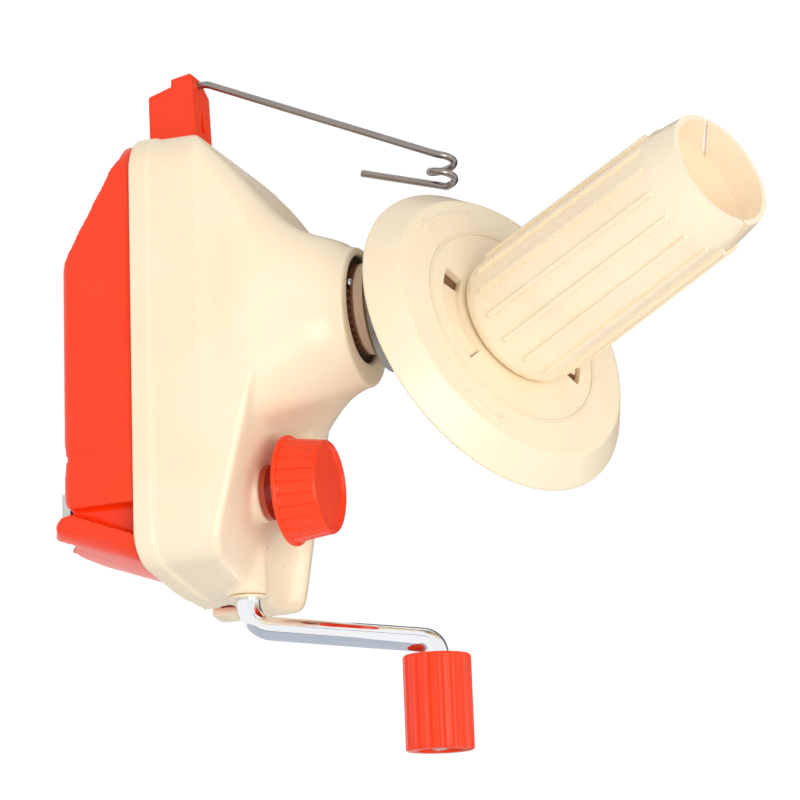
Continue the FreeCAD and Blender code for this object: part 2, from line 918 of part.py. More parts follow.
# The ledge that closes the skirt of the upper housing at the crank end, with the tab that
# catches behind its notch.
ledge_bottom = s.seam_height - 0.4
ledge_room = box(
    "LedgeRoom",
    as_size(30.0),
    3 * s.half_depth,
    as_size(40.0),
    s.ledge_left,
    -1.5 * s.half_depth,
    as_size(0.0),
)
ledge_plate = prism(
    "LedgePlate",
    loose_sketch("LedgeLine", TOP, plan_corners(s.wall + s.fit_gap), ledge_bottom),
    s.ledge_thickness,
)
ledge = common("Ledge", [ledge_plate, ledge_room])
ledge_ribs = []
for y, length in ((-20.0, 4.6), (0.0, 7.2), (20.0, 4.6)):
    ledge_ribs.append(
        box(
            "LedgeRib",
            as_size(length),
            s.tab_thickness,
            as_size(3.1),
            s.ledge_left + 1,
            as_size(y) - s.tab_thickness / 2,
            ledge_bottom - 2.8,
        )
    )
tab_room = box(
    "TabRoom",
    as_size(25.0),
    s.notch_right - s.notch_left + 2 * s.tab_overlap - 1,
    s.tab_top - s.seam_height - 0.5,
    s.ledge_left + 2,
    s.notch_left - s.tab_overlap,
    s.seam_height + 0.5,
)
tab_outer = prism(
    "TabOuter",
    loose_sketch("TabLine", TOP, plan_corners(s.wall + s.fit_gap + 0.1), s.seam_height),
    as_size(30.0),
)
tab_inner = prism(
    "TabInner",
    loose_sketch(
        "TabInnerLine",
        TOP,
        plan_corners(s.wall + s.fit_gap + s.tab_thickness),
        s.seam_height - 1,
    ),
    as_size(32.0),
)
tab = cut("Tab", common("TabSlab", [tab_room, tab_outer]), tab_inner)
pedestal = box(
    "Pedestal",
    s.pedestal_thickness,
    2 * s.pedestal_half,
    s.shaft_height + s.pedestal_half,
    s.pedestal_x,
    -s.pedestal_half,
    as_size(1.0),
)
post_boss = cylinder(
    "PostBoss", s.post_boss_radius, s.post_boss_height - 1, zero, zero, as_size(1.0)
)
lower_posts = []
for x in (-s.screw_post_left, s.screw_post_right):
    for y in (-s.screw_post_y, s.screw_post_y):
        lower_posts.append(
            cylinder("LowPost", s.screw_post_radius + 1.5, s.seam_height, x, y, zero)
        )
lower_posts_inside = common("LowPostsInside", [fuse("LowPosts", lower_posts), tray])
lower_full = fuse(
    "LowerFull",
    [tray_shell, pedestal, post_boss, lower_posts_inside, ledge, tab] + ledge_ribs,
)
foot_slot_left = s.base_right + s.base_chamfer
lower_cuts = [
    box(
        "StemSlot",
        s.stem_slot_right - s.stem_slot_left,
        s.stem_slot_front + s.stem_slot_back,
        as_size(16.0),
        s.stem_slot_left,
        -s.stem_slot_front,
        as_size(-9.0),
    ),
    box(
        "FootSlot",
        s.stem_slot_left - foot_slot_left + 1,
        s.stem_slot_front + s.stem_slot_back,
        as_size(9.0) + s.base_chamfer * 0.6,
        foot_slot_left,
        -s.stem_slot_front,
        as_size(-9.0),
    ),
    cylinder(
        "ShaftHole",
        s.rod_radius + s.run_gap,
        as_size(20.0),
        s.pedestal_x - 5,
        zero,
        s.shaft_height,
        ALONG_X,
    ),
    cylinder(
        "PostHole", s.post_radius + s.bore_gap, as_size(20.0), zero, zero, s.post_bottom
    ),
    cylinder(
        "PostScrewHole",
        s.fixing_radius + s.bore_gap,
        s.post_boss_radius,
        s.post_radius - 1,
        zero,
        s.post_screw_height,
        ALONG_X,
    ),
]
for x, y, seat in FIXINGS:
    lower_cuts.append(
        cylinder("Through", s.fixing_radius + 0.2, as_size(40.0), x, y, as_size(-5.0))
    )
    lower_cuts.append(
        cylinder("HeadWell", s.fixing_head_radius + 0.7, seat + 5, x, y, as_size(-5.0))
    )
grooves = int((s.base_right.number + s.base_left.number) // s.rib_pitch.number) + 1
for i in range(1, grooves):
    lower_cuts.append(
        box(
            "Groove",
            s.rib_width,
            3 * s.base_half,
            s.rib_depth + 1,
            -s.base_left + (i - 0.5) * s.rib_pitch,
            -1.5 * s.base_half,
            as_size(-1.0),
        )
    )
lower_housing = cut("LowerHousing", lower_full, fuse("LowerCuts", lower_cuts))
lower_housing.Label = "lower_housing"

# The four screws that hold the halves together, heads in the wells below.
fixings = []
for x, y, seat in FIXINGS:
    head = cylinder(
        "FixingHead",
        s.fixing_head_radius,
        s.fixing_head_height,
        x,
        y,
        seat - s.fixing_head_height,
    )
    shank_length = s.seam_height + s.fixing_depth - seat
    shank = cylinder("FixingShank", s.fixing_radius, shank_length, x, y, seat)
    fixings.append(fuse("Fixing", [head, shank]))
housing_screws = doc.addObject("Part::Compound", "HousingScrews")
housing_screws.Links = fixings
housing_screws.Label = "housing_screws"

# Axes of the turned pieces.
shaft = Placement(Vector(0, 0, s.shaft_height.number), ALONG_X)
grip_axis = Placement(Vector(0, 0, s.grip_height.number), ALONG_X)
lean_turn = Rotation(Vector(0, 0, 1), s.lean_azimuth.number)
tilt_turn = Rotation(Vector(0, 1, 0), s.tilt.number)
spool_axis = Placement(Vector(0, 0, s.cross_height.number), lean_turn * tilt_turn)
clamp_axis = Placement(Vector(s.knob_x.number, -s.knob_y.number, 0), Rotation())
holder_centre = Vector(-s.end_left.number, s.holder_y.number, s.holder_pin_height.number)
guide_axis = Placement(holder_centre, ALONG_X)

# Centre post with its screw, the clip above the sun pinion, and the bushes.
centre_post = turned(
    "centre_post",
    [
        [
            (zero, s.post_bottom),
            (s.post_radius, s.post_bottom),
            (s.post_radius, s.post_shoulder),
            (s.post_upper_radius, s.post_shoulder),
            (s.post_upper_radius, s.post_second_shoulder),
            (s.post_tip_radius, s.post_second_shoulder),
            (s.post_tip_radius, s.post_top),
            (zero, s.post_top),
        ]
    ],
)
dimple = sketch_in(centre_post, "YZ_Plane", s.post_radius + 1)
draw_circle(dimple, 0, s.post_screw_height, s.fixing_radius + s.bore_gap)
pocket(centre_post, dimple, s.post_screw_bite + 1)
post_screw = turned(
    "post_screw",
    [
        [
            (zero, s.post_radius - s.post_screw_bite),
            (s.fixing_radius, s.post_radius - s.post_screw_bite),
            (s.fixing_radius, s.post_boss_radius - 0.3),
            (s.fixing_radius / 2, s.post_boss_radius - 0.3),
            (s.fixing_radius / 2, s.post_boss_radius - 1.5),
            (zero, s.post_boss_radius - 1.5),
        ]
    ],
    Placement(Vector(0, 0, s.post_screw_height.number), ALONG_X),
)
post_clip = tube(
    "post_clip", s.post_tip_radius, s.clip_radius, s.clip_height, s.clip_height + 0.6
)
crank_bush = turned(
    "crank_bush",
    [
        [
            (s.rod_radius + s.run_gap, as_size(76.0)),
            (s.bush_radius, as_size(76.0)),
            (s.bush_radius, s.crank_boss_face),
            (s.bush_flange_radius, s.crank_boss_face),
            (s.bush_flange_radius, s.crank_boss_face + s.bush_flange),
            (s.rod_radius + s.run_gap, s.crank_boss_face + s.bush_flange),
        ]
    ],
    shaft,
)
clamp_bush = turned(
    "clamp_bush",
    [
        [
            (s.screw_radius + s.run_gap, s.knob_boss_bottom),
            (s.screw_radius + s.run_gap + 1.6, s.knob_boss_bottom),
            (s.screw_radius + s.run_gap + 1.6, s.knob_boss_top),
            (s.bush_ring_radius, s.knob_boss_top),
            (s.bush_ring_radius, s.bush_ring_top),
            (s.screw_radius + s.run_gap, s.bush_ring_top),
        ]
    ],
    clamp_axis,
)

# Crank rod: straight in the bearings, bent up to the grip and bent again.
crank_rod = new_body("crank_rod")
rod_section = sketch_in(crank_rod, "YZ_Plane", s.rod_start)
draw_circle(rod_section, 0, s.shaft_height, s.rod_radius)
rod_path = sketch_in(crank_rod, "XZ_Plane")


def draw_path(sketch, corners):
    """Draws an open line with rounded turns."""
    corners = [tuple(as_size(value) for value in corner) for corner in corners]
    tips = [Vector(corner[0].number, corner[1].number, 0) for corner in corners]
    stops = [(tips[0], tips[0])]
    arcs = []
    for i in range(1, len(tips) - 1):
        radius = corners[i][2].number
        before = (tips[i - 1] - tips[i]).normalize()
        after = (tips[i + 1] - tips[i]).normalize()
        half = before.getAngle(after) / 2
        start = tips[i] + before * (radius / math.tan(half))
        end = tips[i] + after * (radius / math.tan(half))
        centre = tips[i] + (before + after).normalize() * (radius / math.sin(half))
        stops.append((start, end))
        arcs.append((i, centre, radius, start, end, before.cross(after).z < 0))
    stops.append((tips[-1], tips[-1]))
    for i in range(len(tips) - 1):
        sketch.addGeometry(Part.LineSegment(stops[i][1], stops[i + 1][0]))
    hold(sketch, 0, 1, corners[0][0], corners[0][1])
    hold(sketch, len(tips) - 2, 2, corners[-1][0], corners[-1][1])
    for i, centre, radius, start, end, left_turn in arcs:
        first, last = (start, end) if left_turn else (end, start)
        from_angle = math.atan2(first.y - centre.y, first.x - centre.x)
        to_angle = math.atan2(last.y - centre.y, last.x - centre.x)
        if to_angle < from_angle:
            to_angle += 2 * math.pi
        circle = Part.Circle(centre, Vector(0, 0, 1), radius)
        item = sketch.addGeometry(Part.ArcOfCircle(circle, from_angle, to_angle))
        point = sketch.addGeometry(Part.Point(tips[i]), True)
        hold(sketch, point, 1, corners[i][0], corners[i][1])
        add_rule(sketch, Sketcher.Constraint("PointOnObject", point, 1, i - 1))
        add_rule(sketch, Sketcher.Constraint("PointOnObject", point, 1, i))
        near, far = (1, 2) if left_turn else (2, 1)
        add_rule(sketch, Sketcher.Constraint("Tangent", i - 1, 2, item, near))
        add_rule(sketch, Sketcher.Constraint("Tangent", item, far, i, 1))
        add_rule(sketch, Sketcher.Constraint("Radius", item, radius), corners[i][2].formula)


grip_end = s.grip_start + s.grip_length
draw_path(
    rod_path,
    [
        (s.rod_start, s.shaft_height),
        (s.rod_corner_x, s.shaft_height, s.rod_bend),
        (s.rod_top_x, s.grip_height, s.rod_top_bend),
        (grip_end - 1, s.grip_height),
    ],
)
rod = crank_rod.newObject("PartDesign::AdditivePipe", "Rod")
rod.Profile = rod_section
rod.Spine = rod_path
pin_sketch = sketch_in(crank_rod, "XY_Plane")
draw_circle(pin_sketch, s.drive_hub_end - 3, 0, s.gear_pin_radius)
pin_height = 2 * s.drive_hub_radius
pin_sketch.setExpression("AttachmentOffset.Base.z", (s.shaft_height + 10).formula)
pocket(crank_rod, pin_sketch, as_size(20.0))

# Grip: a fluted handle that turns on the rod, held by a washer in its end recess.
crank_grip = turned(
    "crank_grip",
    [
        [
            (s.rod_radius + s.grip_bore_gap, s.grip_start),
            (s.grip_radius, s.grip_start, as_size(0.8)),
            (s.grip_radius, grip_end, as_size(0.8)),
            (s.grip_recess_radius, grip_end),
            (s.grip_recess_radius, grip_end - s.grip_recess),
            (s.rod_radius + s.grip_bore_gap, grip_end - s.grip_recess),
        ]
    ],
    grip_axis,
)
flute = sketch_in(crank_grip, "XY_Plane", s.grip_start - 1)
draw_circle(flute, s.grip_radius + 0.5, 0, as_size(1.1))
flute_cut = pocket(crank_grip, flute, -s.grip_length - 2)
around(crank_grip, flute_cut, 16)
grip_washer = tube(
    "grip_washer",
    s.rod_radius,
    s.grip_recess_radius - 0.8,
    grip_end - s.grip_recess + s.end_gap,
    grip_end - s.grip_recess + s.end_gap + 1,
    grip_axis,
)


# Bevel gears. All faces of a tooth lie on planes through the cones' common tip, so one star
# outline scaled about that tip gives the teeth.
def tooth_flank(teeth, cone, module, heights, thinning):
    """Half thickness of the tooth at each height over the pitch cone, in modules."""
    virtual = teeth / math.cos(cone) * module / 2
    pressure = math.radians(20)
    base = virtual * math.cos(pressure)
    roll = math.tan(pressure) - pressure
    flank = []
    for height in heights:
        radius = virtual + height
        lean = math.acos(min(1.0, base / max(radius, base)))
        angle = math.pi * module / 4 / virtual + roll - (math.tan(lean) - lean)
        flank.append((height, angle * radius - thinning))
    return flank


def bevel_gear(label, teeth, cone, module, face, heights, thinning, phase, hub):
    """Teeth with their ends square to the pitch cone, on a turned blank. The tip of the
    cones is the origin and the axis is Z."""
    far = teeth * module / 2 / math.sin(cone)
    near = far - face
    flank = tooth_flank(teeth, cone, module, heights, thinning)
    star = []
    for tooth in range(teeth):
        middle = phase + tooth * 2 * math.pi / teeth
        left = [(h, -t) for h, t in flank]
        right = [(h, t) for h, t in reversed(flank)]
        for height, offset in left + right:
            radius = far * math.sin(cone) + height * math.cos(cone)
            depth = far * math.cos(cone) - height * math.sin(cone)
            angle = middle + offset / radius
            star.append(
                (radius / depth * math.cos(angle), radius / depth * math.sin(angle))
            )

    def slice_at(depth):
        points = [Vector(x * depth, y * depth, depth) for x, y in star]
        return Part.makePolygon(points + points[:1])

    low, high = heights[0], heights[-1]
    top = far * math.cos(cone) - (low - module) * math.sin(cone)
    bottom = near * math.cos(cone) - (high + module) * math.sin(cone)
    teeth_solid = Part.makeLoft([slice_at(max(bottom, 0.1)), slice_at(top)], True, True)

    def on_cone(distance, height):
        radius = distance * math.sin(cone) + height * math.cos(cone)
        depth = distance * math.cos(cone) - height * math.sin(cone)
        return Vector(radius, 0, depth)

    ring = [
        on_cone(near, high + module),
        on_cone(far, high + module),
        on_cone(far, low - module),
        on_cone(near, low - module),
    ]
    ring_face = Part.Face(Part.makePolygon(ring + ring[:1]))
    ring_solid = ring_face.revolve(Vector(), Vector(0, 0, 1), 360)
    hub_points = [Vector(radius, 0, depth) for radius, depth in hub(on_cone, near, far, low)]
    hub_face = Part.Face(Part.makePolygon(hub_points + hub_points[:1]))
    hub_solid = hub_face.revolve(Vector(), Vector(0, 0, 1), 360)
    shape = teeth_solid.common(ring_solid).fuse(hub_solid)
    gear = doc.addObject("Part::Feature", label)
    gear.Shape = shape.removeSplitter()
    gear.Label = label
    return gear


drive_cone = math.atan2(s.drive_teeth.number, s.spindle_teeth.number)
module = s.drive_module.number
bore_radius = s.rod_radius.number


def drive_hub(on_cone, near, far, low):
    inner = on_cone(near, low)
    outer = on_cone(far, low)
    back = outer.z + s.drive_web.number
    return [
        (bore_radius, inner.z),
        (inner.x, inner.z),
        (outer.x, outer.z),
        (outer.x, back),
        (s.drive_hub_radius.number, back),
        (s.drive_hub_radius.number, s.drive_hub_end.number),
        (bore_radius, s.drive_hub_end.number),
    ]


drive_gear = bevel_gear(
    "drive_gear",
    int(s.drive_teeth.number),
    drive_cone,
    module,
    s.drive_face.number,
    [-0.95 * module, 0.8 * module],
    0.12,
    0.0,
    drive_hub,
)
pin_turn = Rotation(Vector(0, 1, 0), 90)
pin_hole = Part.makeCylinder(
    s.gear_pin_radius.number, 40, Vector(-20, 0, s.drive_hub_end.number - 3), Vector(1, 0, 0)
)
drive_gear.Shape = drive_gear.Shape.cut(pin_hole)
drive_gear.Placement = shaft
gear_pin = new_body("gear_pin")
gear_pin_sketch = sketch_in(gear_pin, "XY_Plane", s.shaft_height - s.drive_hub_radius + 0.5)
draw_circle(gear_pin_sketch, s.drive_hub_end - 3, 0, s.gear_pin_radius - 0.01)
pad(gear_pin, gear_pin_sketch, 2 * s.drive_hub_radius - 1)

spindle_cone = math.pi / 2 - drive_cone
spindle_bore = s.post_upper_radius.number + s.run_gap.number
spindle_low = s.post_shoulder.number - s.shaft_height.number + s.end_gap.number
spindle_high = s.collar_bottom.number - s.shaft_height.number


def spindle_hub(on_cone, near, far, low):
    inner = on_cone(near, low)
    outer = on_cone(far, low)
    return [
        (spindle_bore, spindle_low),
        (inner.x, spindle_low),
        (inner.x, inner.z),
        (outer.x, outer.z),
        (outer.x, spindle_high),
        (spindle_bore, spindle_high),
    ]


half_tooth = math.pi / s.spindle_teeth.number
spindle_pinion = bevel_gear(
    "spindle_pinion",
    int(s.spindle_teeth.number),
    spindle_cone,
    module,
    s.drive_face.number,
    [-0.95 * module, 0.0, 0.8 * module],
    0.12,
    half_tooth,
    spindle_hub,
)
spindle_pinion.Placement = Placement(Vector(0, 0, s.shaft_height.number), Rotation())

# Collars on the pinion, and the pin in the lower one.
lower_collar = turned(
    "lower_collar",
    [
        [
            (s.post_upper_radius + s.run_gap, s.collar_bottom),
            (s.collar_radius, s.collar_bottom, s.collar_edge),
            (s.collar_radius, s.collar_seam, s.collar_edge),
            (s.post_upper_radius + s.run_gap, s.collar_seam),
        ]
    ],
)
pin_seat = sketch_in(lower_collar, "YZ_Plane", s.collar_radius + 1)
draw_circle(
    pin_seat, 0, (s.collar_bottom + s.collar_seam) / 2, s.collar_pin_radius + s.bore_gap
)
pocket(lower_collar, pin_seat, s.collar_radius - 7)
upper_collar = turned(
    "upper_collar",
    [
        [
            (s.post_upper_radius + s.run_gap, s.collar_seam),
            (s.collar_radius, s.collar_seam, s.collar_edge),
            (s.collar_radius, s.collar_top, s.collar_edge),
            (s.post_upper_radius + s.run_gap, s.collar_top),
        ]
    ],
)
collar_pin = new_body("collar_pin")
pin_outline = sketch_in(collar_pin, "YZ_Plane", as_size(8.0))
draw_circle(pin_outline, 0, (s.collar_bottom + s.collar_seam) / 2, s.collar_pin_radius)
pad(collar_pin, pin_outline, s.collar_radius - 7.6)
pin_turn_z = Rotation(Vector(0, 0, 1), -111.6)
lower_collar.Placement = Placement(Vector(), pin_turn_z)
collar_pin.Placement = Placement(Vector(), pin_turn_z)

# Tilt arm: a cast flange on the collar with an arm up to the boss of the tilted axle.
arm_frame = Placement(Vector(), Rotation(Vector(0, 0, 1), s.lean_azimuth.number + 180))
flange = turned(
    "ArmFlange",
    [
        [
            (s.post_upper_radius + s.run_gap, s.collar_top),
            (s.flange_low_radius, s.collar_top),
            (s.flange_top_radius, s.flange_top),
            (s.flange_hollow_radius, s.flange_top),
            (s.flange_hollow_radius - 2, s.flange_top - 2),
            (s.arm_hub_radius, s.flange_top - 2),
            (s.arm_hub_radius, s.arm_hub_top),
            (s.post_upper_radius + s.run_gap, s.arm_hub_top),
        ]
    ],
)
sin_tilt = sine(s.tilt)
cos_tilt = cosine(s.tilt)
boss_bottom_r = s.boss_low * sin_tilt
boss_bottom_z = s.cross_height - s.boss_low * cos_tilt
boss_top_r = s.boss_high * sin_tilt
boss_top_z = s.cross_height - s.boss_high * cos_tilt
arm_line = [
    (s.arm_hub_radius - 1.5, s.flange_top - 3),
    (s.flange_hollow_radius + 1.5, s.flange_top - 3),
    (s.flange_hollow_radius + 2.5, s.flange_top - 0.5),
    (boss_bottom_r + 2, boss_bottom_z - 3.5),
    (boss_bottom_r + 1, boss_bottom_z + 1),
    (boss_top_r - 1, boss_top_z - 4),
    (boss_top_r - 5, boss_top_z - 7),
    (s.arm_hub_radius - 1.5, s.arm_hub_top - 1),
]
arm_web = prism(
    "ArmWeb",
    loose_sketch("ArmLine", SIDE, arm_line),
    s.arm_width / 2,
    s.arm_width / 2,
)
arm_boss = doc.addObject("Part::Cylinder", "ArmBoss")
arm_boss.setExpression("Radius", s.boss_radius.formula)
arm_boss.setExpression("Height", (s.boss_low - s.boss_high).formula)
arm_boss.Placement = Placement(
    Vector(boss_bottom_r.number, 0, boss_bottom_z.number), Rotation(Vector(0, -1, 0), s.tilt.number)
)
arm_solid = fuse("ArmSolid", [flange, arm_web, arm_boss])
axle_bore = doc.addObject("Part::Cylinder", "AxleBore")
axle_bore.setExpression("Radius", s.axle_radius.formula)
axle_bore.Height = 40
axle_bore.Placement = Placement(
    Vector(boss_bottom_r.number, 0, boss_bottom_z.number)
    + Rotation(Vector(0, -1, 0), s.tilt.number).multVec(Vector(0, 0, -0.1)),
    Rotation(Vector(0, -1, 0), s.tilt.number),
)
post_bore = cylinder(
    "PostBore", s.post_upper_radius + s.run_gap, as_size(40.0), zero, zero, as_size(80.0)
)
tilt_arm = cut("TiltArm", arm_solid, fuse("ArmBores", [axle_bore, post_bore]))
tilt_arm.Label = "tilt_arm"
tilt_arm.Placement = arm_frame

# Tilted axle with its thrust flange, washer and screw. Heights run along the tilted axis.
tilt_axle = turned(
    "tilt_axle",
    [
        [
            (zero, -s.boss_low),
            (s.axle_radius, -s.boss_low),
            (s.axle_radius, -s.boss_high),
            (as_size(4.6), -s.boss_high),
            (as_size(4.6), -s.boss_high + 0.8),
            (s.axle_radius, -s.boss_high + 0.8),
            (s.axle_radius, -s.axle_end),
            (as_size(1.5), -s.axle_end),
            (as_size(1.5), -s.axle_end - 10),
            (zero, -s.axle_end - 10),
        ]
    ],
    spool_axis,
)
axle_washer = tube(
    "axle_washer",
    as_size(1.6),
    as_size(6.0),
    -s.axle_end,
    -s.axle_end + 1,
    spool_axis,
)
axle_screw = turned(
    "axle_screw",
    [
        [
            (zero, -s.axle_end - 9),
            (as_size(1.49), -s.axle_end - 9),
            (as_size(1.49), -s.axle_end + 1),
            (as_size(4.2), -s.axle_end + 1),
            (as_size(4.2), -s.axle_end + 3.4, as_size(1.2)),
            (zero, -s.axle_end + 3.4),
        ]
    ],
    spool_axis,
)

# Sun pinion, fixed on the post, and the gear under the disc that rolls round it.
tilt_angle = math.radians(s.tilt.number)
ratio = s.disc_teeth.number / s.sun_teeth.number
sun_cone = math.atan2(math.sin(tilt_angle), ratio + math.cos(tilt_angle))
disc_cone = tilt_angle - sun_cone
sun_module = s.sun_module.number
sun_bore = s.post_tip_radius.number


def sun_hub(on_cone, near, far, low):
    inner = on_cone(near, low)
    outer = on_cone(far, low)
    return [
        (sun_bore, inner.z),
        (inner.x, inner.z),
        (outer.x, outer.z),
        (sun_bore, outer.z),
    ]


toward_disc = math.radians(180 - (s.lean_azimuth.number + 180))
sun_pinion = bevel_gear(
    "sun_pinion",
    int(s.sun_teeth.number),
    sun_cone,
    sun_module,
    s.sun_face.number,
    [-0.8 * sun_module, -0.3 * sun_module, 0.0, 0.8 * sun_module],
    0.1,
    toward_disc,
    sun_hub,
)
sun_pinion.Placement = Placement(
    Vector(0, 0, s.cross_height.number), Rotation(Vector(0, 1, 0), 180)
)


def disc_hub(on_cone, near, far, low):
    inner = on_cone(near, low)
    outer = on_cone(far, low)
    bore = s.axle_radius.number + s.run_gap.number
    hub_end = s.disc_face.number + s.disc_wall.number
    return [
        (bore, hub_end),
        (s.disc_hub_radius.number, hub_end),
        (s.disc_hub_radius.number, inner.z),
        (inner.x, inner.z),
        (outer.x, outer.z),
        (bore, outer.z),
    ]


disc_gear = bevel_gear(
    "disc_gear",
    int(s.disc_teeth.number),
    disc_cone,
    sun_module,
    s.sun_face.number,
    [-0.95 * sun_module, 0.0, 0.6 * sun_module],
    0.1,
    math.pi / s.disc_teeth.number,
    disc_hub,
)
disc_gear.Placement = spool_axis * Placement(Vector(), Rotation(Vector(1, 0, 0), 180))

# Flange disc with its bevelled skirt, raised ring, hub and the two slots of its bayonet.
rim_slope = s.rim_drop / (s.rim_radius - s.disc_crease_radius)
flange_disc = turned(
    "flange_disc",
    [
        [
            (s.axle_radius + s.run_gap, -s.disc_face - s.disc_wall),
            (s.disc_crease_radius - 1, -s.disc_face - s.disc_wall, as_size(1.0)),
            (s.rim_radius - 2.6, -s.disc_face - s.rim_drop),
            (s.rim_radius, -s.disc_face - s.rim_drop, as_size(0.6)),
            (s.disc_crease_radius, -s.disc_face, as_size(1.5)),
            (s.hub_radius, -s.disc_face),
            (s.hub_radius, -s.hub_top),
            (s.axle_radius + s.run_gap, -s.hub_top),
        ],
        [
            (s.ring_radius, -s.disc_face - 0.5),
            (s.ring_radius + s.ring_width, -s.disc_face - 0.5),
            (s.ring_radius + s.ring_width, -s.disc_face + s.ring_proud),
            (s.ring_radius, -s.disc_face + s.ring_proud),
        ],
    ],
    spool_axis,
)
for start in (0, 180):
    slot = sketch_in(flange_disc, "XY_Plane", -s.disc_face + 2)
    angles = [math.radians(start + s.slot_start.number + i * (s.slot_end.number - s.slot_start.number) / 2) for i in range(3)]
    inner = [Vector(math.cos(a), math.sin(a), 0) * s.slot_inner.number for a in angles]
    outer_points = [Vector(math.cos(a), math.sin(a), 0) * s.slot_outer.number for a in angles]
    slot.addGeometry(Part.Arc(*inner))
    slot.addGeometry(Part.LineSegment(inner[2], outer_points[2]))
    slot.addGeometry(Part.Arc(*outer_points))
    slot.addGeometry(Part.LineSegment(outer_points[0], inner[0]))
    pocket(flange_disc, slot, s.disc_wall + 4)

# Spool: a hollow cone with lengthwise ribs, open at its end, with two slanting slits at the
# rim that hold the yarn's end.
taper = (s.spool_foot_radius - s.spool_waist_radius) / (s.spool_waist + s.disc_face)
foot = s.spool_foot_radius
spool = turned(
    "spool_tube",
    [
        [
            (s.spool_floor_radius, -s.disc_face),
            (foot, -s.disc_face, s.spool_foot_rounding),
            (s.spool_waist_radius, s.spool_waist),
            (s.spool_mouth_radius, s.spool_top),
            (s.spool_mouth_radius - s.spool_wall, s.spool_top),
            (s.spool_waist_radius - s.spool_wall, s.spool_waist),
            (foot - s.spool_wall - 0.5, -s.disc_face + 2, as_size(2.8)),
            (s.spool_floor_radius, -s.disc_face + 2),
        ]
    ],
    spool_axis,
)
rib_sketch = sketch_in(spool, "XZ_Plane")
draw(
    rib_sketch,
    [
        (s.spool_waist_radius - 0.9 + taper * 60, -s.rib_start - 3),
        (foot + s.rib_proud - taper * 4, -s.rib_start),
        (s.spool_waist_radius + s.rib_proud, s.rib_end - 0.6),
        (s.spool_waist_radius - 0.8, s.rib_end),
    ],
)
rib = pad(spool, rib_sketch, s.rib_thickness, centred=True)
around(spool, rib, s.rib_count)
for rim_angle, lean in ((126.5, 24.0), (-66.0, -42.0)):
    slit = doc.addObject("Part::Box", "Slit")
    slit.setExpression("Width", s.slit_width.formula)
    slit.setExpression("Height", s.slit_length.formula)
    slit.Length = 9
    slit.Placement = (
        Placement(Vector(0, 0, s.spool_top.number), Rotation(Vector(0, 0, 1), rim_angle))
        * Placement(Vector(s.spool_mouth_radius.number - 4, 0, 0), Rotation(Vector(1, 0, 0), lean))
        * Placement(Vector(0, -s.slit_width.number / 2, -s.slit_length.number / 2), Rotation())
    )
slits = fuse("Slits", [item for item in doc.Objects if item.Name.startswith("Slit")])
spool.Label = "SpoolBlank"
spool.Placement = Placement()
spool_tube = cut("SpoolTube", spool, slits)
spool_tube.Label = "spool_tube"
spool_tube.Placement = spool_axis

# Clamp knob, screw, jaw and nut.
knob = turned(
    "clamp_knob",
    [
        [
            (s.screw_radius, s.knob_base),
            (s.knob_base_radius, s.knob_base, as_size(0.5)),
            (s.knob_base_radius, s.knob_base + s.knob_flange, as_size(0.5)),
            (s.knob_base_radius - 0.9, s.knob_base + s.knob_flange),
            (s.knob_top_radius, s.knob_top, as_size(1.4)),
            (s.knob_dish_radius, s.knob_top),
            (s.knob_dish_radius - 1, s.knob_top - s.knob_dish),
            (zero, s.knob_top - s.knob_dish),
            (zero, s.screw_top),
            (s.screw_radius, s.screw_top),
        ]
    ],
    clamp_axis,
)
knob_flute = sketch_in(knob, "XZ_Plane")
flute_low = s.knob_base + s.knob_flange + 0.4
draw(
    knob_flute,
    [
        (s.knob_base_radius - 1.35, flute_low),
        (s.knob_base_radius + 1, flute_low),
        (s.knob_top_radius + 1.5, s.knob_top - 1.6),
        (s.knob_top_radius - 0.2, s.knob_top - 1.6),
    ],
)
knob_cut = pocket(knob, knob_flute, s.flute_radius, centred=True)
around(knob, knob_cut, s.knob_flutes)
clamp_screw = turned(
    "clamp_screw",
    [
        [
            (zero, s.screw_bottom),
            (s.screw_radius, s.screw_bottom, as_size(0.6)),
            (s.screw_radius, s.screw_top),
            (zero, s.screw_top),
        ]
    ],
    clamp_axis,
)
jaw = new_body("clamp_jaw")
jaw_line = sketch_in(jaw, "XZ_Plane", -s.jaw_back)
stem = s.jaw_stem_right
draw(
    jaw_line,
    [
        (s.jaw_foot_left, -s.jaw_foot_bottom),
        (stem, -s.jaw_foot_bottom, as_size(4.2)),
        (stem, s.jaw_tab_top, as_size(4.2)),
        (s.jaw_tab_left, s.jaw_tab_top),
        (s.jaw_tab_left, s.jaw_tab_top - s.jaw_thickness),
        (stem - s.jaw_thickness, s.jaw_tab_top - s.jaw_thickness, as_size(1.0)),
        (stem - s.jaw_thickness, -s.jaw_foot_bottom + 2.6, as_size(1.0)),
        (s.jaw_foot_left, -s.jaw_foot_bottom + 2.6),
    ],
)
pad(jaw, jaw_line, s.jaw_front + s.jaw_back)
jaw_hole = sketch_in(jaw, "XY_Plane", s.jaw_tab_top + 5)
draw_circle(jaw_hole, s.knob_x, -s.knob_y, s.screw_radius + 0.4)
pocket(jaw, jaw_hole, s.jaw_thickness + 8)
nut = new_body("clamp_nut")
nut_sketch = sketch_in(nut, "XY_Plane", s.jaw_tab_top - s.jaw_thickness - s.nut_height)
flat = s.nut_flats.number / 2 / math.cos(math.pi / 6)
nut_points = [
    Vector(flat * math.cos(i * math.pi / 3), flat * math.sin(i * math.pi / 3), 0)
    for i in range(6)
]
for i in range(6):
    nut_sketch.addGeometry(Part.LineSegment(nut_points[i], nut_points[(i + 1) % 6]))
pad(nut, nut_sketch, s.nut_height)
nut_bore = sketch_in(nut, "XY_Plane", s.jaw_tab_top + 2)
draw_circle(nut_bore, 0, 0, s.screw_radius + s.run_gap)
pocket(nut, nut_bore, as_size(15.0))
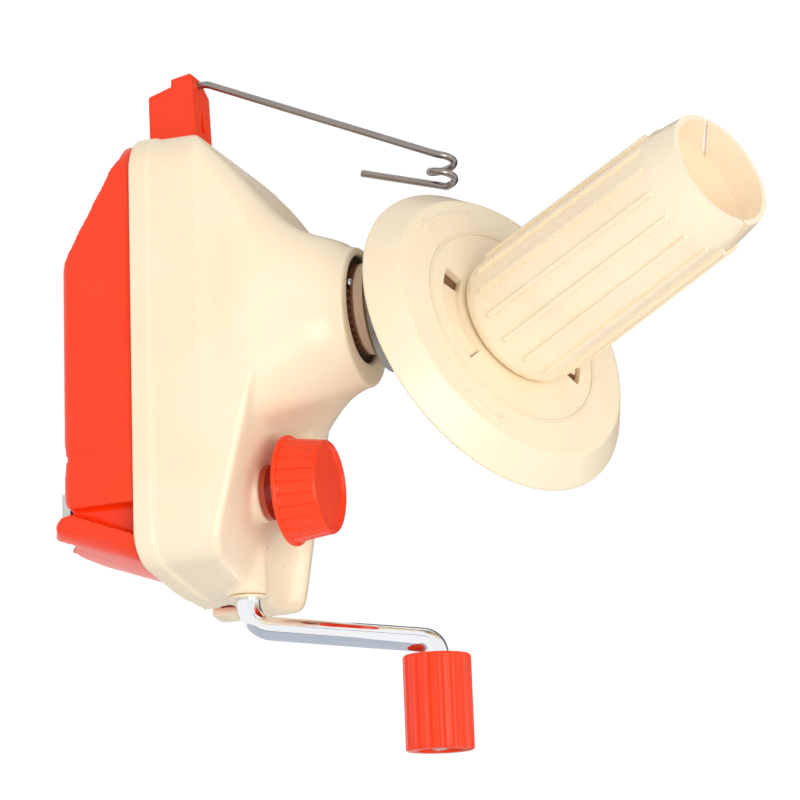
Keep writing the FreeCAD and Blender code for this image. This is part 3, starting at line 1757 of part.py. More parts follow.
nut.Label = "clamp_nut"
nut.Placement = clamp_axis

# Guide: a block that swings on a pin in the end face, and the steel wire with its eye.
holder = new_body("HolderBlock")
holder_line = sketch_in(holder, "XZ_Plane", -(s.holder_y + s.holder_width / 2))
face = -s.end_left - 0.2 - s.band_proud
draw(
    holder_line,
    [
        (face, as_size(19.0)),
        (as_size(-73.6), as_size(18.6), as_size(1.0)),
        (as_size(-76.0), as_size(26.1)),
        (as_size(-78.3), as_size(26.2)),
        (as_size(-79.6), as_size(33.0), as_size(0.8)),
        (face, as_size(34.2)),
    ],
)
pad(holder, holder_line, s.holder_width)
chamfer_line = sketch_in(holder, "XY_Plane", as_size(50.0))
draw(
    chamfer_line,
    [
        (as_size(-81.0), as_size(-3.6)),
        (as_size(-74.2), as_size(8.0)),
        (as_size(-90.0), as_size(8.0)),
    ],
)
pocket(holder, chamfer_line, as_size(40.0))
drop_line = sketch_in(holder, "XY_Plane", as_size(50.0))
draw(
    drop_line,
    [
        (as_size(-70.6), as_size(0.2)),
        (as_size(-62.0), as_size(2.2), as_size(1.2)),
        (as_size(-62.0), as_size(-1.8), as_size(1.2)),
    ],
)
pocket(holder, drop_line, as_size(20.0))
holder_bore = sketch_in(holder, "YZ_Plane", face + 3)
draw_circle(holder_bore, s.holder_y, s.holder_pin_height, s.holder_pin_radius)
pocket(holder, holder_bore, as_size(8.0))
wire_hole = cylinder(
    "WireHole",
    s.wire_radius,
    as_size(12.0),
    -s.wire_foot_x,
    -s.wire_foot_y,
    s.wire_foot_z,
)
guide_holder = cut("GuideHolder", holder, wire_hole)
guide_holder.Label = "guide_holder"
guide_pin = tube(
    "guide_pin", zero, s.holder_pin_radius - 0.01, as_size(-5.5), as_size(4.5), guide_axis
)


# The wire stands in the block, bends towards the eye, turns one and a half times round it
# and ends in a free tail.
def guide_path():
    foot = Vector(-s.wire_foot_x.number, -s.wire_foot_y.number, s.wire_foot_z.number)
    mouth = Vector(foot.x, foot.y, s.wire_mouth_z.number)
    radius = s.eye_radius.number
    coil = []
    for angle in range(0, int(360 * s.eye_turns.number) + 1, 15):
        share = angle / (360 * s.eye_turns.number)
        turn = math.radians(angle)
        coil.append(
            Vector(
                -s.eye_left.number + share * s.eye_length.number,
                s.eye_y.number - radius * math.cos(turn),
                s.eye_z.number + radius * math.sin(turn),
            )
        )
    tail = Vector(-s.tail_left.number, coil[-1].y, s.tail_z.number)
    rise = (coil[0] - mouth).normalize()
    drop = (tail - coil[-1]).normalize()
    bend = s.wire_bend.number
    half = rise.getAngle(Vector(0, 0, -1)) / 2
    bend_start = mouth - Vector(0, 0, bend / math.tan(half))
    bend_end = mouth + rise * (bend / math.tan(half))
    inward = (rise - Vector(0, 0, 1)).normalize()
    middle = mouth + inward * (bend / math.sin(half) - bend)
    arrive = coil[0] - rise * radius
    leave = coil[-1] + drop * radius
    curve = Part.BSplineCurve()
    curve.interpolate(
        Points=[arrive] + coil[1:-1] + [leave], InitialTangent=rise, FinalTangent=drop
    )
    return Part.Wire(
        [
            Part.LineSegment(foot, bend_start).toShape(),
            Part.Arc(bend_start, middle, bend_end).toShape(),
            Part.LineSegment(bend_end, arrive).toShape(),
            curve.toShape(),
            Part.LineSegment(leave, tail).toShape(),
        ]
    )


wire_path = guide_path()
wire_section = Part.Wire(
    [Part.makeCircle(s.wire_radius.number, wire_path.Vertexes[0].Point, Vector(0, 0, 1))]
)
guide_wire = doc.addObject("Part::Feature", "guide_wire")
guide_wire.Shape = wire_path.makePipeShell([wire_section], True, True)
guide_wire.Label = "guide_wire"

doc.recompute()
NODES = [
    upper_housing,
    lower_housing,
    housing_screws,
    centre_post,
    post_screw,
    post_clip,
    sun_pinion,
    crank_bush,
    clamp_bush,
    guide_pin,
    crank_rod,
    drive_gear,
    gear_pin,
    crank_grip,
    grip_washer,
    spindle_pinion,
    lower_collar,
    upper_collar,
    collar_pin,
    tilt_arm,
    tilt_axle,
    axle_washer,
    axle_screw,
    flange_disc,
    disc_gear,
    spool_tube,
    knob,
    clamp_screw,
    jaw,
    nut,
    guide_holder,
    guide_wire,
]
for item in doc.Objects:
    if "Invalid" in item.State or "Error" in item.State:
        raise ValueError(item.Label + " failed")
for node in NODES:
    if node.Shape.isNull() or not node.Shape.isValid():
        raise ValueError(node.Label + " is not a valid solid")
for node in NODES:
    node.Shape.exportStep("parts/" + node.Label + ".step")
    print(node.Label, len(node.Shape.Solids), round(node.Shape.Volume))
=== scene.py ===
import math

import bmesh
import bpy
from mathutils import Matrix, Vector


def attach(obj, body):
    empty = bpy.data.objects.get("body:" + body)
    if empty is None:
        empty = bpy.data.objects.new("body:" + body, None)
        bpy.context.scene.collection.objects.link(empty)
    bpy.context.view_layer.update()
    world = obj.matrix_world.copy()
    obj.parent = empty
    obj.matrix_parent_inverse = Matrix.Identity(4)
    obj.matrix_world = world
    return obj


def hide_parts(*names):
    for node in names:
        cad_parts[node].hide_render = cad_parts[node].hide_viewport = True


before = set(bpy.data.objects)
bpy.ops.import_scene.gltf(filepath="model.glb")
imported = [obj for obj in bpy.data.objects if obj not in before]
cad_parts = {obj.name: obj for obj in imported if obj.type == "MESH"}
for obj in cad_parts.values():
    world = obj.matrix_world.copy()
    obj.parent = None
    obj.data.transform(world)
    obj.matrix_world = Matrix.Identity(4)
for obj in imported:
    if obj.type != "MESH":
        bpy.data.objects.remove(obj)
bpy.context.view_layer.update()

# Upper housing: injection-moulded ABS in warm cream, satin, with the fine spark-eroded grain
# of its mould. Its corners are as round as a polished mould leaves them, most of all where
# the shelf, the ridge and the neck run into each other.
MM = 0.001


def paint(sheet_colour):
    """Linear colour of an sRGB hex value such as #F5E0BE."""
    parts = [int(sheet_colour[i : i + 2], 16) / 255 for i in (1, 3, 5)]
    return [c / 12.92 if c <= 0.04045 else ((c + 0.055) / 1.055) ** 2.4 for c in parts] + [1.0]


def add(tree, kind, sockets=None, **settings):
    """Adds a node. A socket given another node's output is linked, else its value is set."""
    node = tree.nodes.new(kind)
    for name, value in settings.items():
        setattr(node, name, value)
    for name, value in (sockets or {}).items():
        if isinstance(value, bpy.types.NodeSocket):
            tree.links.new(value, node.inputs[name])
        else:
            node.inputs[name].default_value = value
    return node


def empty_finish(name):
    """A new material without nodes, and its node tree."""
    material = bpy.data.materials.new(name)
    material.use_nodes = True
    material.node_tree.nodes.clear()
    return material, material.node_tree


def dress(material, *nodes):
    """Gives the material to the solids' own pieces, with their edges kept sharp."""
    for name in nodes:
        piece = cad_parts[name]
        piece.data.materials.clear()
        piece.data.materials.append(material)
        for face in piece.data.polygons:
            face.use_smooth = True
        piece.data.set_sharp_from_angle(angle=math.radians(32))


def moulded_plastic(name, colour, flow_colour, gloss, grain_mm, grain_depth_mm, edge_mm, index=1.5):
    """Moulded ABS or acetal: faint flow marks, uneven satin, mould grain and worn edges."""
    material, tree = empty_finish(name)
    place = add(tree, "ShaderNodeTexCoord").outputs["Object"]
    flow = add(
        tree,
        "ShaderNodeTexNoise",
        {"Vector": place, "Scale": 1 / (28 * MM), "Detail": 3.0, "Distortion": 0.6},
    )
    share = add(
        tree,
        "ShaderNodeMapRange",
        {"Value": flow.outputs["Fac"], "From Min": 0.3, "From Max": 0.75},
    )
    colours = add(
        tree,
        "ShaderNodeMix",
        {"Factor": share.outputs["Result"], "A": paint(colour), "B": paint(flow_colour)},
        data_type="RGBA",
    )
    sheen_marks = add(
        tree, "ShaderNodeTexNoise", {"Vector": place, "Scale": 1 / (6 * MM), "Detail": 4.0}
    )
    roughness = add(
        tree,
        "ShaderNodeMapRange",
        {
            "Value": sheen_marks.outputs["Fac"],
            "From Min": 0.25,
            "From Max": 0.75,
            "To Min": gloss - 0.04,
            "To Max": gloss + 0.05,
        },
    )
    edges = add(tree, "ShaderNodeBevel", {"Radius": edge_mm * MM}, samples=6)
    grain = add(
        tree,
        "ShaderNodeTexNoise",
        {"Vector": place, "Scale": 1 / (grain_mm * MM), "Detail": 2.0},
    )
    relief = add(
        tree,
        "ShaderNodeBump",
        {
            "Height": grain.outputs["Fac"],
            "Strength": 0.3,
            "Distance": grain_depth_mm * MM,
            "Normal": edges.outputs["Normal"],
        },
    )
    shader = add(
        tree,
        "ShaderNodeBsdfPrincipled",
        {
            "Base Color": colours.outputs["Result"],
            "Roughness": roughness.outputs["Result"],
            "Normal": relief.outputs["Normal"],
            "IOR": index,
        },
    )
    add(tree, "ShaderNodeOutputMaterial", {"Surface": shader.outputs["BSDF"]})
    return material


def settle(piece):
    """Gives a piece the mesh that its modifiers make, and takes the modifiers off."""
    graph = bpy.context.evaluated_depsgraph_get()
    mesh = bpy.data.meshes.new_from_object(piece.evaluated_get(graph))
    piece.modifiers.clear()
    piece.data = mesh


def moulded_copy(name, node, body, material, grid_mm, rounds):
    """The node's form in the material, with its corners rounded. Each round is a number of
    passes and a function that gives from 0 to 1 how far they act at a point in millimetres."""
    piece = bpy.data.objects.new(name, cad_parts[node].data.copy())
    bpy.context.scene.collection.objects.link(piece)
    grid = piece.modifiers.new("grid", "REMESH")
    grid.mode = "VOXEL"
    grid.voxel_size = grid_mm * MM
    settle(piece)
    for passes, share_at in rounds:
        group = piece.vertex_groups.new(name="rounded")
        for vertex in piece.data.vertices:
            group.add([vertex.index], share_at(vertex.co / MM), "REPLACE")
        smoother = piece.modifiers.new("rounding", "SMOOTH")
        smoother.factor = 0.5
        smoother.iterations = passes
        smoother.vertex_group = "rounded"
        settle(piece)
        piece.vertex_groups.clear()
    for face in piece.data.polygons:
        face.use_smooth = True
    piece.data.materials.clear()
    piece.data.materials.append(material)
    dress(material, node)
    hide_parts(node)
    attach(piece, body)
    return piece


def near(distance, full, none):
    """1 up to the distance full, falling to 0 at the distance none."""
    return min(max((none - distance) / (none - full), 0.0), 1.0)


cream_abs = moulded_plastic("cream_moulded_abs", "#FBEACB", "#F8E4C2", 0.3, 0.6, 0.02, 0.5)
KNOB_X = 54.0
KNOB_Y = -9.0
SHAFT_HEIGHT = 45.0
BAND_TOP = 33.0


def from_knob(at):
    """How far a point is from the knob's axis, in millimetres."""
    return math.hypot(at.x - KNOB_X, at.y - KNOB_Y)


def from_shaft(at):
    """How far a point is from the axis of the crank's shaft, in millimetres."""
    return math.hypot(at.y, at.z - SHAFT_HEIGHT)


def roof_share(at):
    """Strong rounding acts on the roof only, and not at its bores, the mouth or the seam."""
    mouth = math.hypot(at.x, at.y)
    share = near(48.0 - at.z, 0.0, 4.0) * near(at.z, 74.0, 80.0)
    share *= 1 - near(mouth, 17.5, 20.0) * near(60.0 - at.z, 0.0, 6.0)
    share *= 1 - near(from_knob(at), 8.8, 10.5)
    share *= 1 - near(from_shaft(at), 4.6, 6.0) * near(78.0 - at.x, 0.0, 3.0)
    return share


def shelf_share(at):
    """The strongest rounding takes the crank boss and the ridge's edges into the shelf."""
    share = near(60.0 - at.x, 0.0, 6.0) * near(43.5 - at.z, 0.0, 3.0) * near(-at.y, 24.0, 30.0)
    share *= 1 - near(from_knob(at), 9.5, 12.0)
    share *= 1 - near(from_shaft(at), 4.8, 6.4)
    return share


def edge_share(at):
    """A light rounding everywhere but the thin step of the band along the seam."""
    return 0.1 if at.z < BAND_TOP else 0.8


upper = moulded_copy(
    "upper_housing_moulded",
    "upper_housing",
    "housing",
    cream_abs,
    0.6,
    [(90, shelf_share), (30, roof_share), (10, edge_share)],
)

# Lower housing: the same moulded ABS coloured orange-red, with the four screw posts inside
# and the ribbed foot that stands on the table.
red_abs = moulded_plastic("red_moulded_abs", "#FD400D", "#F83A09", 0.3, 0.6, 0.02, 0.25, 1.42)
lower = moulded_copy(
    "lower_housing_moulded",
    "lower_housing",
    "housing",
    red_abs,
    0.8,
    [(7, lambda at: 0.7)],
)

# Pinions, collars and bushes: acetal, which is left in tan, brown or its natural white and
# looks waxy and a little matt.
tan_acetal = moulded_plastic("tan_moulded_acetal", "#E6C6A8", "#DCBA9C", 0.4, 0.8, 0.02, 0.25)
dress(tan_acetal, "lower_collar", "upper_collar")
brown_acetal = moulded_plastic("brown_moulded_acetal", "#875B3C", "#754C31", 0.4, 0.8, 0.02, 0.2)
dress(brown_acetal, "spindle_pinion", "sun_pinion")
natural_acetal = moulded_plastic(
    "natural_moulded_acetal", "#EFE8D8", "#E8E0CD", 0.36, 0.8, 0.02, 0.25
)
dress(natural_acetal, "drive_gear", "disc_gear")

# Bush of the clamp screw: an amber-red acetal, glossier than the others. Its dark amber-red is
# partly painted shade and
# painted red light: it darkens the recess round the screw, and it stands in for the red light that
# the knob throws there.
# The crank's bush is moulded in the housing's cream ABS.
amber_acetal_and_painted_shade = moulded_plastic("amber_acetal_painted_recess_shade", "#C25330", "#B04522", 0.22, 0.8, 0.02, 0.3)
dress(amber_acetal_and_painted_shade, "clamp_bush")
dress(cream_abs, "crank_bush")


# Crank rod: 7 mm steel rod, bent cold, polished and chromed. The chrome mirrors the studio and
# shows the faint lengthwise lines of the polishing under it.
def metal(name, colour, dark_colour, gloss, spread, line_mm, stretch, depth_mm):
    """Bare or plated metal with fine lines, which stretch along one axis of the piece."""
    material, tree = empty_finish(name)
    place = add(tree, "ShaderNodeTexCoord").outputs["Object"]
    along = add(tree, "ShaderNodeMapping", {"Vector": place, "Scale": stretch})
    lines = add(
        tree,
        "ShaderNodeTexNoise",
        {"Vector": along.outputs["Vector"], "Scale": 1 / (line_mm * MM), "Detail": 4.0},
    )
    tarnish = add(
        tree, "ShaderNodeTexNoise", {"Vector": place, "Scale": 1 / (9 * MM), "Detail": 5.0}
    )
    colours = add(
        tree,
        "ShaderNodeMix",
        {"Factor": tarnish.outputs["Fac"], "A": paint(colour), "B": paint(dark_colour)},
        data_type="RGBA",
    )
    roughness = add(
        tree,
        "ShaderNodeMapRange",
        {
            "Value": lines.outputs["Fac"],
            "From Min": 0.3,
            "From Max": 0.7,
            "To Min": max(gloss - spread, 0.02),
            "To Max": gloss + spread,
        },
    )
    relief = add(
        tree,
        "ShaderNodeBump",
        {"Height": lines.outputs["Fac"], "Strength": 0.25, "Distance": depth_mm * MM},
    )
    shader = add(
        tree,
        "ShaderNodeBsdfPrincipled",
        {
            "Base Color": colours.outputs["Result"],
            "Metallic": 1.0,
            "Roughness": roughness.outputs["Result"],
            "Normal": relief.outputs["Normal"],
        },
    )
    add(tree, "ShaderNodeOutputMaterial", {"Surface": shader.outputs["BSDF"]})
    return material


chrome = metal("polished_chrome", "#F2F3F5", "#E8EAED", 0.05, 0.02, 0.7, (0.1, 1, 1), 0.002)
dress(chrome, "crank_rod", "grip_washer")

# Centre post, axle, screws and the small fastenings: steel, turned or headed, zinc-plated.
steel = metal("zinc_plated_steel", "#C6C8CA", "#ABADB0", 0.25, 0.08, 0.5, (1, 1, 0.3), 0.006)
dress(
    steel,
    "housing_screws",
    "centre_post",
    "post_screw",
    "post_clip",
    "gear_pin",
    "collar_pin",
    "tilt_axle",
    "axle_washer",
    "axle_screw",
    "clamp_screw",
    "clamp_nut",
    "guide_pin",
)


# Pin of the collars: zinc-plated steel, driven in from the side, with a bright domed head that
# stands out on the lower collar.
def plain(radius, height, angle):
    """No grooves: nothing is cut in anywhere."""
    return 0


def turned(name, outline, steps, groove_at, place, material, body):
    """A piece turned about its own Z axis. outline goes from the axis round to the axis, as
    radius and height in millimetres; groove_at gives how deep a point of it is cut in."""
    form = bmesh.new()
    rings = []
    for radius, height in outline:
        if radius == 0:
            rings.append([form.verts.new((0, 0, height * MM))] * steps)
            continue
        ring = []
        for step in range(steps):
            angle = 2 * math.pi * step / steps
            reach = (radius - groove_at(radius, height, angle)) * MM
            ring.append(
                form.verts.new((reach * math.cos(angle), reach * math.sin(angle), height * MM))
            )
        rings.append(ring)
    for below, above in zip(rings, rings[1:]):
        for step in range(steps):
            following = (step + 1) % steps
            corners = [below[step], below[following], above[following], above[step]]
            form.faces.new(list(dict.fromkeys(corners)))
    bmesh.ops.recalc_face_normals(form, faces=form.faces)
    mesh = bpy.data.meshes.new(name)
    form.to_mesh(mesh)
    form.free()
    mesh.transform(place)
    mesh.materials.append(material)
    for face in mesh.polygons:
        face.use_smooth = True
    mesh.set_sharp_from_angle(angle=math.radians(40))
    piece = bpy.data.objects.new(name, mesh)
    bpy.context.scene.collection.objects.link(piece)
    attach(piece, body)
    return piece


pin_end = Vector((-4.9, -12.75, 83.95)) * MM
pin_out = Vector((-0.358, -0.934, 0.0))
pin_place = Matrix.Translation(pin_end) @ pin_out.to_track_quat("Z", "Y").to_matrix().to_4x4()
pin_outline = [
    (0, -4.5), (0.6, -4.5), (0.6, 0), (1.25, 0), (1.25, 0.5), (1.0, 1.05), (0.55, 1.35), (0, 1.45),
]
pin = turned("collar_pin_domed", pin_outline, 24, plain, pin_place, steel, "rotor")
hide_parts("collar_pin")

# The pinion's toothed crown under the collars: brown acetal, with a plain lip at its top.
CROWN_TEETH = 36
CROWN_INSIDE = 12
CROWN_LIP = 84.3
TOOTH_DEPTH = 1.3


def tooth_gap(radius, height, angle):
    """Straight gaps between the crown's teeth, below its lip."""
    if radius < CROWN_INSIDE or height > CROWN_LIP:
        return 0
    turn = (angle * CROWN_TEETH / (2 * math.pi)) % 1
    return TOOTH_DEPTH * near(abs(turn - 0.5), 0.12, 0.3)


crown_outline = [
    (9.0, 84.95), (9.0, 82.85), (13.2, 82.85), (13.5, 83.1), (13.5, 84.25), (13.55, 84.35),
    (13.55, 84.85), (13.4, 84.95), (9.0, 84.95),
]
crown = turned(
    "pinion_toothed_crown",
    crown_outline,
    360,
    tooth_gap,
    Matrix.Identity(4),
    brown_acetal,
    "rotor",
)
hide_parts("lower_collar")

# Tilt arm: die-cast zinc, tumbled, with a moulded tan plate under its foot like the collars.
cast_zinc = metal("tumbled_cast_zinc", "#CDCDCB", "#B4B4B2", 0.34, 0.08, 0.5, (1, 1, 1), 0.02)
dress(cast_zinc, "tilt_arm")
FOOT_RADIUS = 13.9 * MM
FOOT_TOP = 89.4 * MM
arm = bpy.data.objects.new("tilt_arm_cast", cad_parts["tilt_arm"].data.copy())
bpy.context.scene.collection.objects.link(arm)
arm.data.materials.append(tan_acetal)
for vertex in arm.data.vertices:
    reach = math.hypot(vertex.co.x, vertex.co.y)
    if vertex.co.z < FOOT_TOP and reach > FOOT_RADIUS:
        vertex.co.x *= FOOT_RADIUS / reach
        vertex.co.y *= FOOT_RADIUS / reach
for face in arm.data.polygons:
    if max(arm.data.vertices[i].co.z for i in face.vertices) < FOOT_TOP:
        face.material_index = 1
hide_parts("tilt_arm")
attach(arm, "rotor")

# Flange disc and spool: cream ABS like the housing, thinner in the spool. The disc bears two
# plain raised arrows that give the way round, and the small pip of its gate.
thin_abs_with_painted_glow = moulded_plastic("cream_thin_abs_painted_bore_glow", "#FDEDD0", "#F9E6C5", 0.26, 0.6, 0.01, 0.0)
dress(cream_abs, "flange_disc")
dress(thin_abs_with_painted_glow, "spool_tube")
even_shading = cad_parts["spool_tube"].modifiers.new("even_shading", "WEIGHTED_NORMAL")
even_shading.keep_sharp = True
even_shading.weight = 80
SPOOL_MIDDLE = Vector((0, 0, 146.5)) * MM
SPOOL_LEAN = 33.18
LEANS_TOWARDS = -124.9
SPOOL = (
    Matrix.Translation(SPOOL_MIDDLE)
    @ Matrix.Rotation(math.radians(LEANS_TOWARDS), 4, "Z")
    @ Matrix.Rotation(math.radians(SPOOL_LEAN), 4, "Y")
)

# The bore of the spool: its wall is thin, so some of the light outside comes through. Painted light
# stands in for it:
# a weak glow, on the faces that look towards the spool's middle, brightens the inside of the bore.
INWARDS = -9 * MM
PAINTED_GLOW_STRENGTH = 0.11
tree = thin_abs_with_painted_glow.node_tree
point = add(tree, "ShaderNodeTexCoord")
from_middle = add(
    tree,
    "ShaderNodeVectorMath",
    {0: point.outputs["Object"], 1: SPOOL_MIDDLE},
    operation="SUBTRACT",
)
outwards = add(
    tree,
    "ShaderNodeVectorMath",
    {0: point.outputs["Normal"], 1: from_middle.outputs["Vector"]},
    operation="DOT_PRODUCT",
)
in_bore = add(
    tree, "ShaderNodeMath", {0: outwards.outputs["Value"], 1: INWARDS}, operation="LESS_THAN"
)
painted_bore_glow = add(
    tree,
    "ShaderNodeMath",
    {0: in_bore.outputs["Value"], 1: PAINTED_GLOW_STRENGTH},
    operation="MULTIPLY",
)
plastic = tree.nodes["Principled BSDF"]
# Painted light: the faces inside the bore glow faintly in a warm white.
tree.links.new(painted_bore_glow.outputs["Value"], plastic.inputs["Emission Strength"])
plastic.inputs["Emission Color"].default_value = paint("#FFF8F0")

# The arrows and the pip, raised from the face of the disc in the same ABS.
DISC_FACE = -24.28
ARROW_RADIUS = 39.0
TAIL_HALF_WIDTH = 0.7
HEAD_HALF_WIDTH = 2.6
HEAD_DEGREES = 6


def on_disc(radius, degrees):
    """The place at a radius and an angle from the middle of the disc."""
    return (radius * math.cos(math.radians(degrees)), radius * math.sin(math.radians(degrees)))


def arc(radius, first, sweep, parts):
    """Places on the disc at one radius, from an angle on through the sweep."""
    return [on_disc(radius, first + sweep * i / parts) for i in range(parts + 1)]


def raised(name, outline, low, high, edge, material):
    """A flat form that lies along the disc between two heights, with rounded edges. Its
    outline and the heights are in millimetres."""
    form = bmesh.new()
    face = form.faces.new([form.verts.new((x * MM, y * MM, low * MM)) for x, y in outline])
    grown = bmesh.ops.extrude_face_region(form, geom=[face])
    tops = [item for item in grown["geom"] if isinstance(item, bmesh.types.BMVert)]
    bmesh.ops.translate(form, verts=tops, vec=(0, 0, (high - low) * MM))
    bmesh.ops.recalc_face_normals(form, faces=form.faces)
    mesh = bpy.data.meshes.new(name)
    form.to_mesh(mesh)
    form.free()
    mesh.materials.append(material)
    piece = bpy.data.objects.new(name, mesh)
    bpy.context.scene.collection.objects.link(piece)
    rounding = piece.modifiers.new("rounding", "BEVEL")
    rounding.width = edge * MM
    rounding.segments = 2
    rounding.limit_method = "ANGLE"
    settle(piece)
    piece.data.transform(SPOOL)
    for face in piece.data.polygons:
        face.use_smooth = True
    piece.data.set_sharp_from_angle(angle=math.radians(40))
    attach(piece, "spool")


for name, first, last in (("way_arrow_front", -54, -16), ("way_arrow_side", 72, 98)):
    neck = last - HEAD_DEGREES
    outline = arc(ARROW_RADIUS + TAIL_HALF_WIDTH, first, neck - first, 12)
    outline.append(on_disc(ARROW_RADIUS + HEAD_HALF_WIDTH, neck))
    outline.append(on_disc(ARROW_RADIUS, last))
    outline.append(on_disc(ARROW_RADIUS - HEAD_HALF_WIDTH, neck))
    outline += reversed(arc(ARROW_RADIUS - TAIL_HALF_WIDTH, first, neck - first, 12))
    raised(name, outline, DISC_FACE - 0.3, DISC_FACE + 0.25, 0.12, cream_abs)
pip_x, pip_y = on_disc(30.7, 155)
round_pip = [on_disc(0.45, 30 * i) for i in range(12)]
pip = [(pip_x + x, pip_y + y) for x, y in round_pip]
raised("gate_pip", pip, DISC_FACE - 0.3, DISC_FACE + 0.3, 0.1, cream_abs)


# The spool's two bayonet lugs, moulded with it. They lie under the face of the disc and fill
# its slots apart from the way in, over a thin brown plate that they turn on.
def ring_part(inner, outer, first, sweep):
    """The outline of a part of a ring, from its radii and from an angle on through the sweep."""
    return arc(outer, first, sweep, 20) + arc(inner, first, sweep, 20)[::-1]


for number, first in ((1, 0.0), (2, 180.0)):
    raised(
        f"bayonet_lug_{number}",
        ring_part(19.4, 26.3, first + 3.0, 59.0),
        DISC_FACE - 2.35,
        DISC_FACE - 1.5,
        0.2,
        cream_abs,
    )
    raised(
        f"bayonet_plate_{number}",
        ring_part(20.7, 28.0, first - 10.0, 75.0),
        DISC_FACE - 3.2,
        DISC_FACE - 2.45,
        0.1,
        brown_acetal,
    )

# Grip and guide block: the red ABS. The grip turns on the crank's end, which is headed over
# like a rivet.
dress(red_abs, "crank_grip", "guide_holder")
rivet_seat = Vector((129.15, 0, 102)) * MM
rivet_place = Matrix.Translation(rivet_seat) @ Matrix.Rotation(math.pi / 2, 4, "Y")
rivet_outline = [
    (0, -0.6), (3.0, -0.6), (3.1, 0.3), (2.8, 0.9), (2.1, 1.35), (1.1, 1.6), (0, 1.68),
]
turned("grip_rivet_head", rivet_outline, 32, plain, rivet_place, steel, "crank")

# Clamp knob: red ABS with a thin flange below, shallow grip flutes and a rim round its top.
dress(red_abs, "clamp_knob")
FLUTES = 24
FLUTE_DEPTH = 0.5
GROOVE_DEGREES = 1.5
FLUTE_BOTTOM = 63.9
FLUTES_FADE_FROM = 73.4
FLUTE_TOP = 74.2
INSIDE_RIM = 11.6


def flute_depth(radius, height, angle):
    """Narrow grooves between broad flutes, which run out below the rounded top edge."""
    if not FLUTE_BOTTOM <= height <= FLUTE_TOP or radius < INSIDE_RIM:
        return 0
    turn = (angle * FLUTES / (2 * math.pi)) % 1
    from_groove = min(turn, 1 - turn) * 360 / FLUTES
    groove = math.exp(-((from_groove / GROOVE_DEGREES) ** 2))
    return FLUTE_DEPTH * groove * near(height, FLUTES_FADE_FROM, FLUTE_TOP)


knob_outline = [
    (0, 71.2), (3.0, 71.2), (3.0, 62.6), (5.4, 62.6), (5.6, 66.0), (13.2, 66.0), (13.9, 62.6),
    (14.2, 62.4), (15.8, 62.4), (16.2, 62.7), (16.2, 63.4), (15.95, 63.75), (15.4, 63.85),
    (15.2, 64.05), (15.1, 64.6), (14.8, 66.5), (14.5, 68.5), (14.2, 70.5), (13.95, 72.3),
    (13.8, 73.4), (13.7, 74.4), (13.45, 74.85), (13.1, 75.0), (12.5, 75.0), (12.2, 74.85),
    (12.0, 74.4), (11.7, 74.15), (11.2, 74.05), (8.0, 74.1), (4.0, 74.2), (0, 74.25),
]
knob_place = Matrix.Translation(Vector((KNOB_X, KNOB_Y, 0)) * MM)
knob = turned(
    "clamp_knob_fluted", knob_outline, 288, flute_depth, knob_place, red_abs, "knob"
)
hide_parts("clamp_knob")

# Clamp jaw: bent steel strip, nickel-plated and barrel-polished.
nickel = metal("barrelled_nickel_steel", "#D3D2CE", "#BDBCB8", 0.2, 0.06, 0.9, (1, 0.2, 1), 0.006)
dress(nickel, "clamp_jaw")

# Guide wire: hard-drawn steel wire, bare and a little oily, with lines along its length.
wire_steel = metal("drawn_steel_wire", "#A69D99", "#867E7A", 0.2, 0.05, 0.4, (1, 1, 0.1), 0.002)
dress(wire_steel, "guide_wire")


# The stage: a white floor under the winder, a white room, and four cards that only mirrors
# see, as a product studio has them to draw the edges of bright metal.
def board(name, corners, material):
    """A flat sheet of the stage, from its corners in metres."""
    mesh = bpy.data.meshes.new(name)
    mesh.from_pydata(corners, [], [tuple(range(len(corners)))])
    mesh.materials.append(material)
    piece = bpy.data.objects.new(name, mesh)
    bpy.context.scene.collection.objects.link(piece)
    return piece


def in_view(tree):
    """1 where the eye, a mirror or clear plastic looks, 0 where only light is gathered."""
    seen = add(tree, "ShaderNodeLightPath")
    mirror_or_eye = add(
        tree,
        "ShaderNodeMath",
        {0: seen.outputs["Is Camera Ray"], 1: seen.outputs["Is Glossy Ray"]},
        operation="MAXIMUM",
    )
    any_view = add(
        tree,
        "ShaderNodeMath",
        {0: mirror_or_eye.outputs["Value"], 1: seen.outputs["Is Transmission Ray"]},
        operation="MAXIMUM",
    )
    return any_view.outputs["Value"]


GLOW_SHARE = 0.93
floor_paint, tree = empty_finish("white_floor")
lit_share = add(tree, "ShaderNodeMath", {0: in_view(tree), 1: GLOW_SHARE}, operation="MULTIPLY")
matt = add(tree, "ShaderNodeBsdfDiffuse", {"Color": paint("#F2F2F2")})
glow = add(tree, "ShaderNodeEmission", {"Color": (1.0, 1.0, 1.0, 1.0), "Strength": 1.05})
floor_mix = add(
    tree,
    "ShaderNodeMixShader",
    {0: lit_share.outputs["Value"], 1: matt.outputs["BSDF"], 2: glow.outputs["Emission"]},
)
add(tree, "ShaderNodeOutputMaterial", {"Surface": floor_mix.outputs["Shader"]})
FLOOR = -34 * MM
SPAN = 40.0
around = [(-SPAN, -SPAN), (SPAN, -SPAN), (SPAN, SPAN), (-SPAN, SPAN)]
floor_corners = [(x, y, FLOOR) for x, y in around]
board("floor", floor_corners, floor_paint)


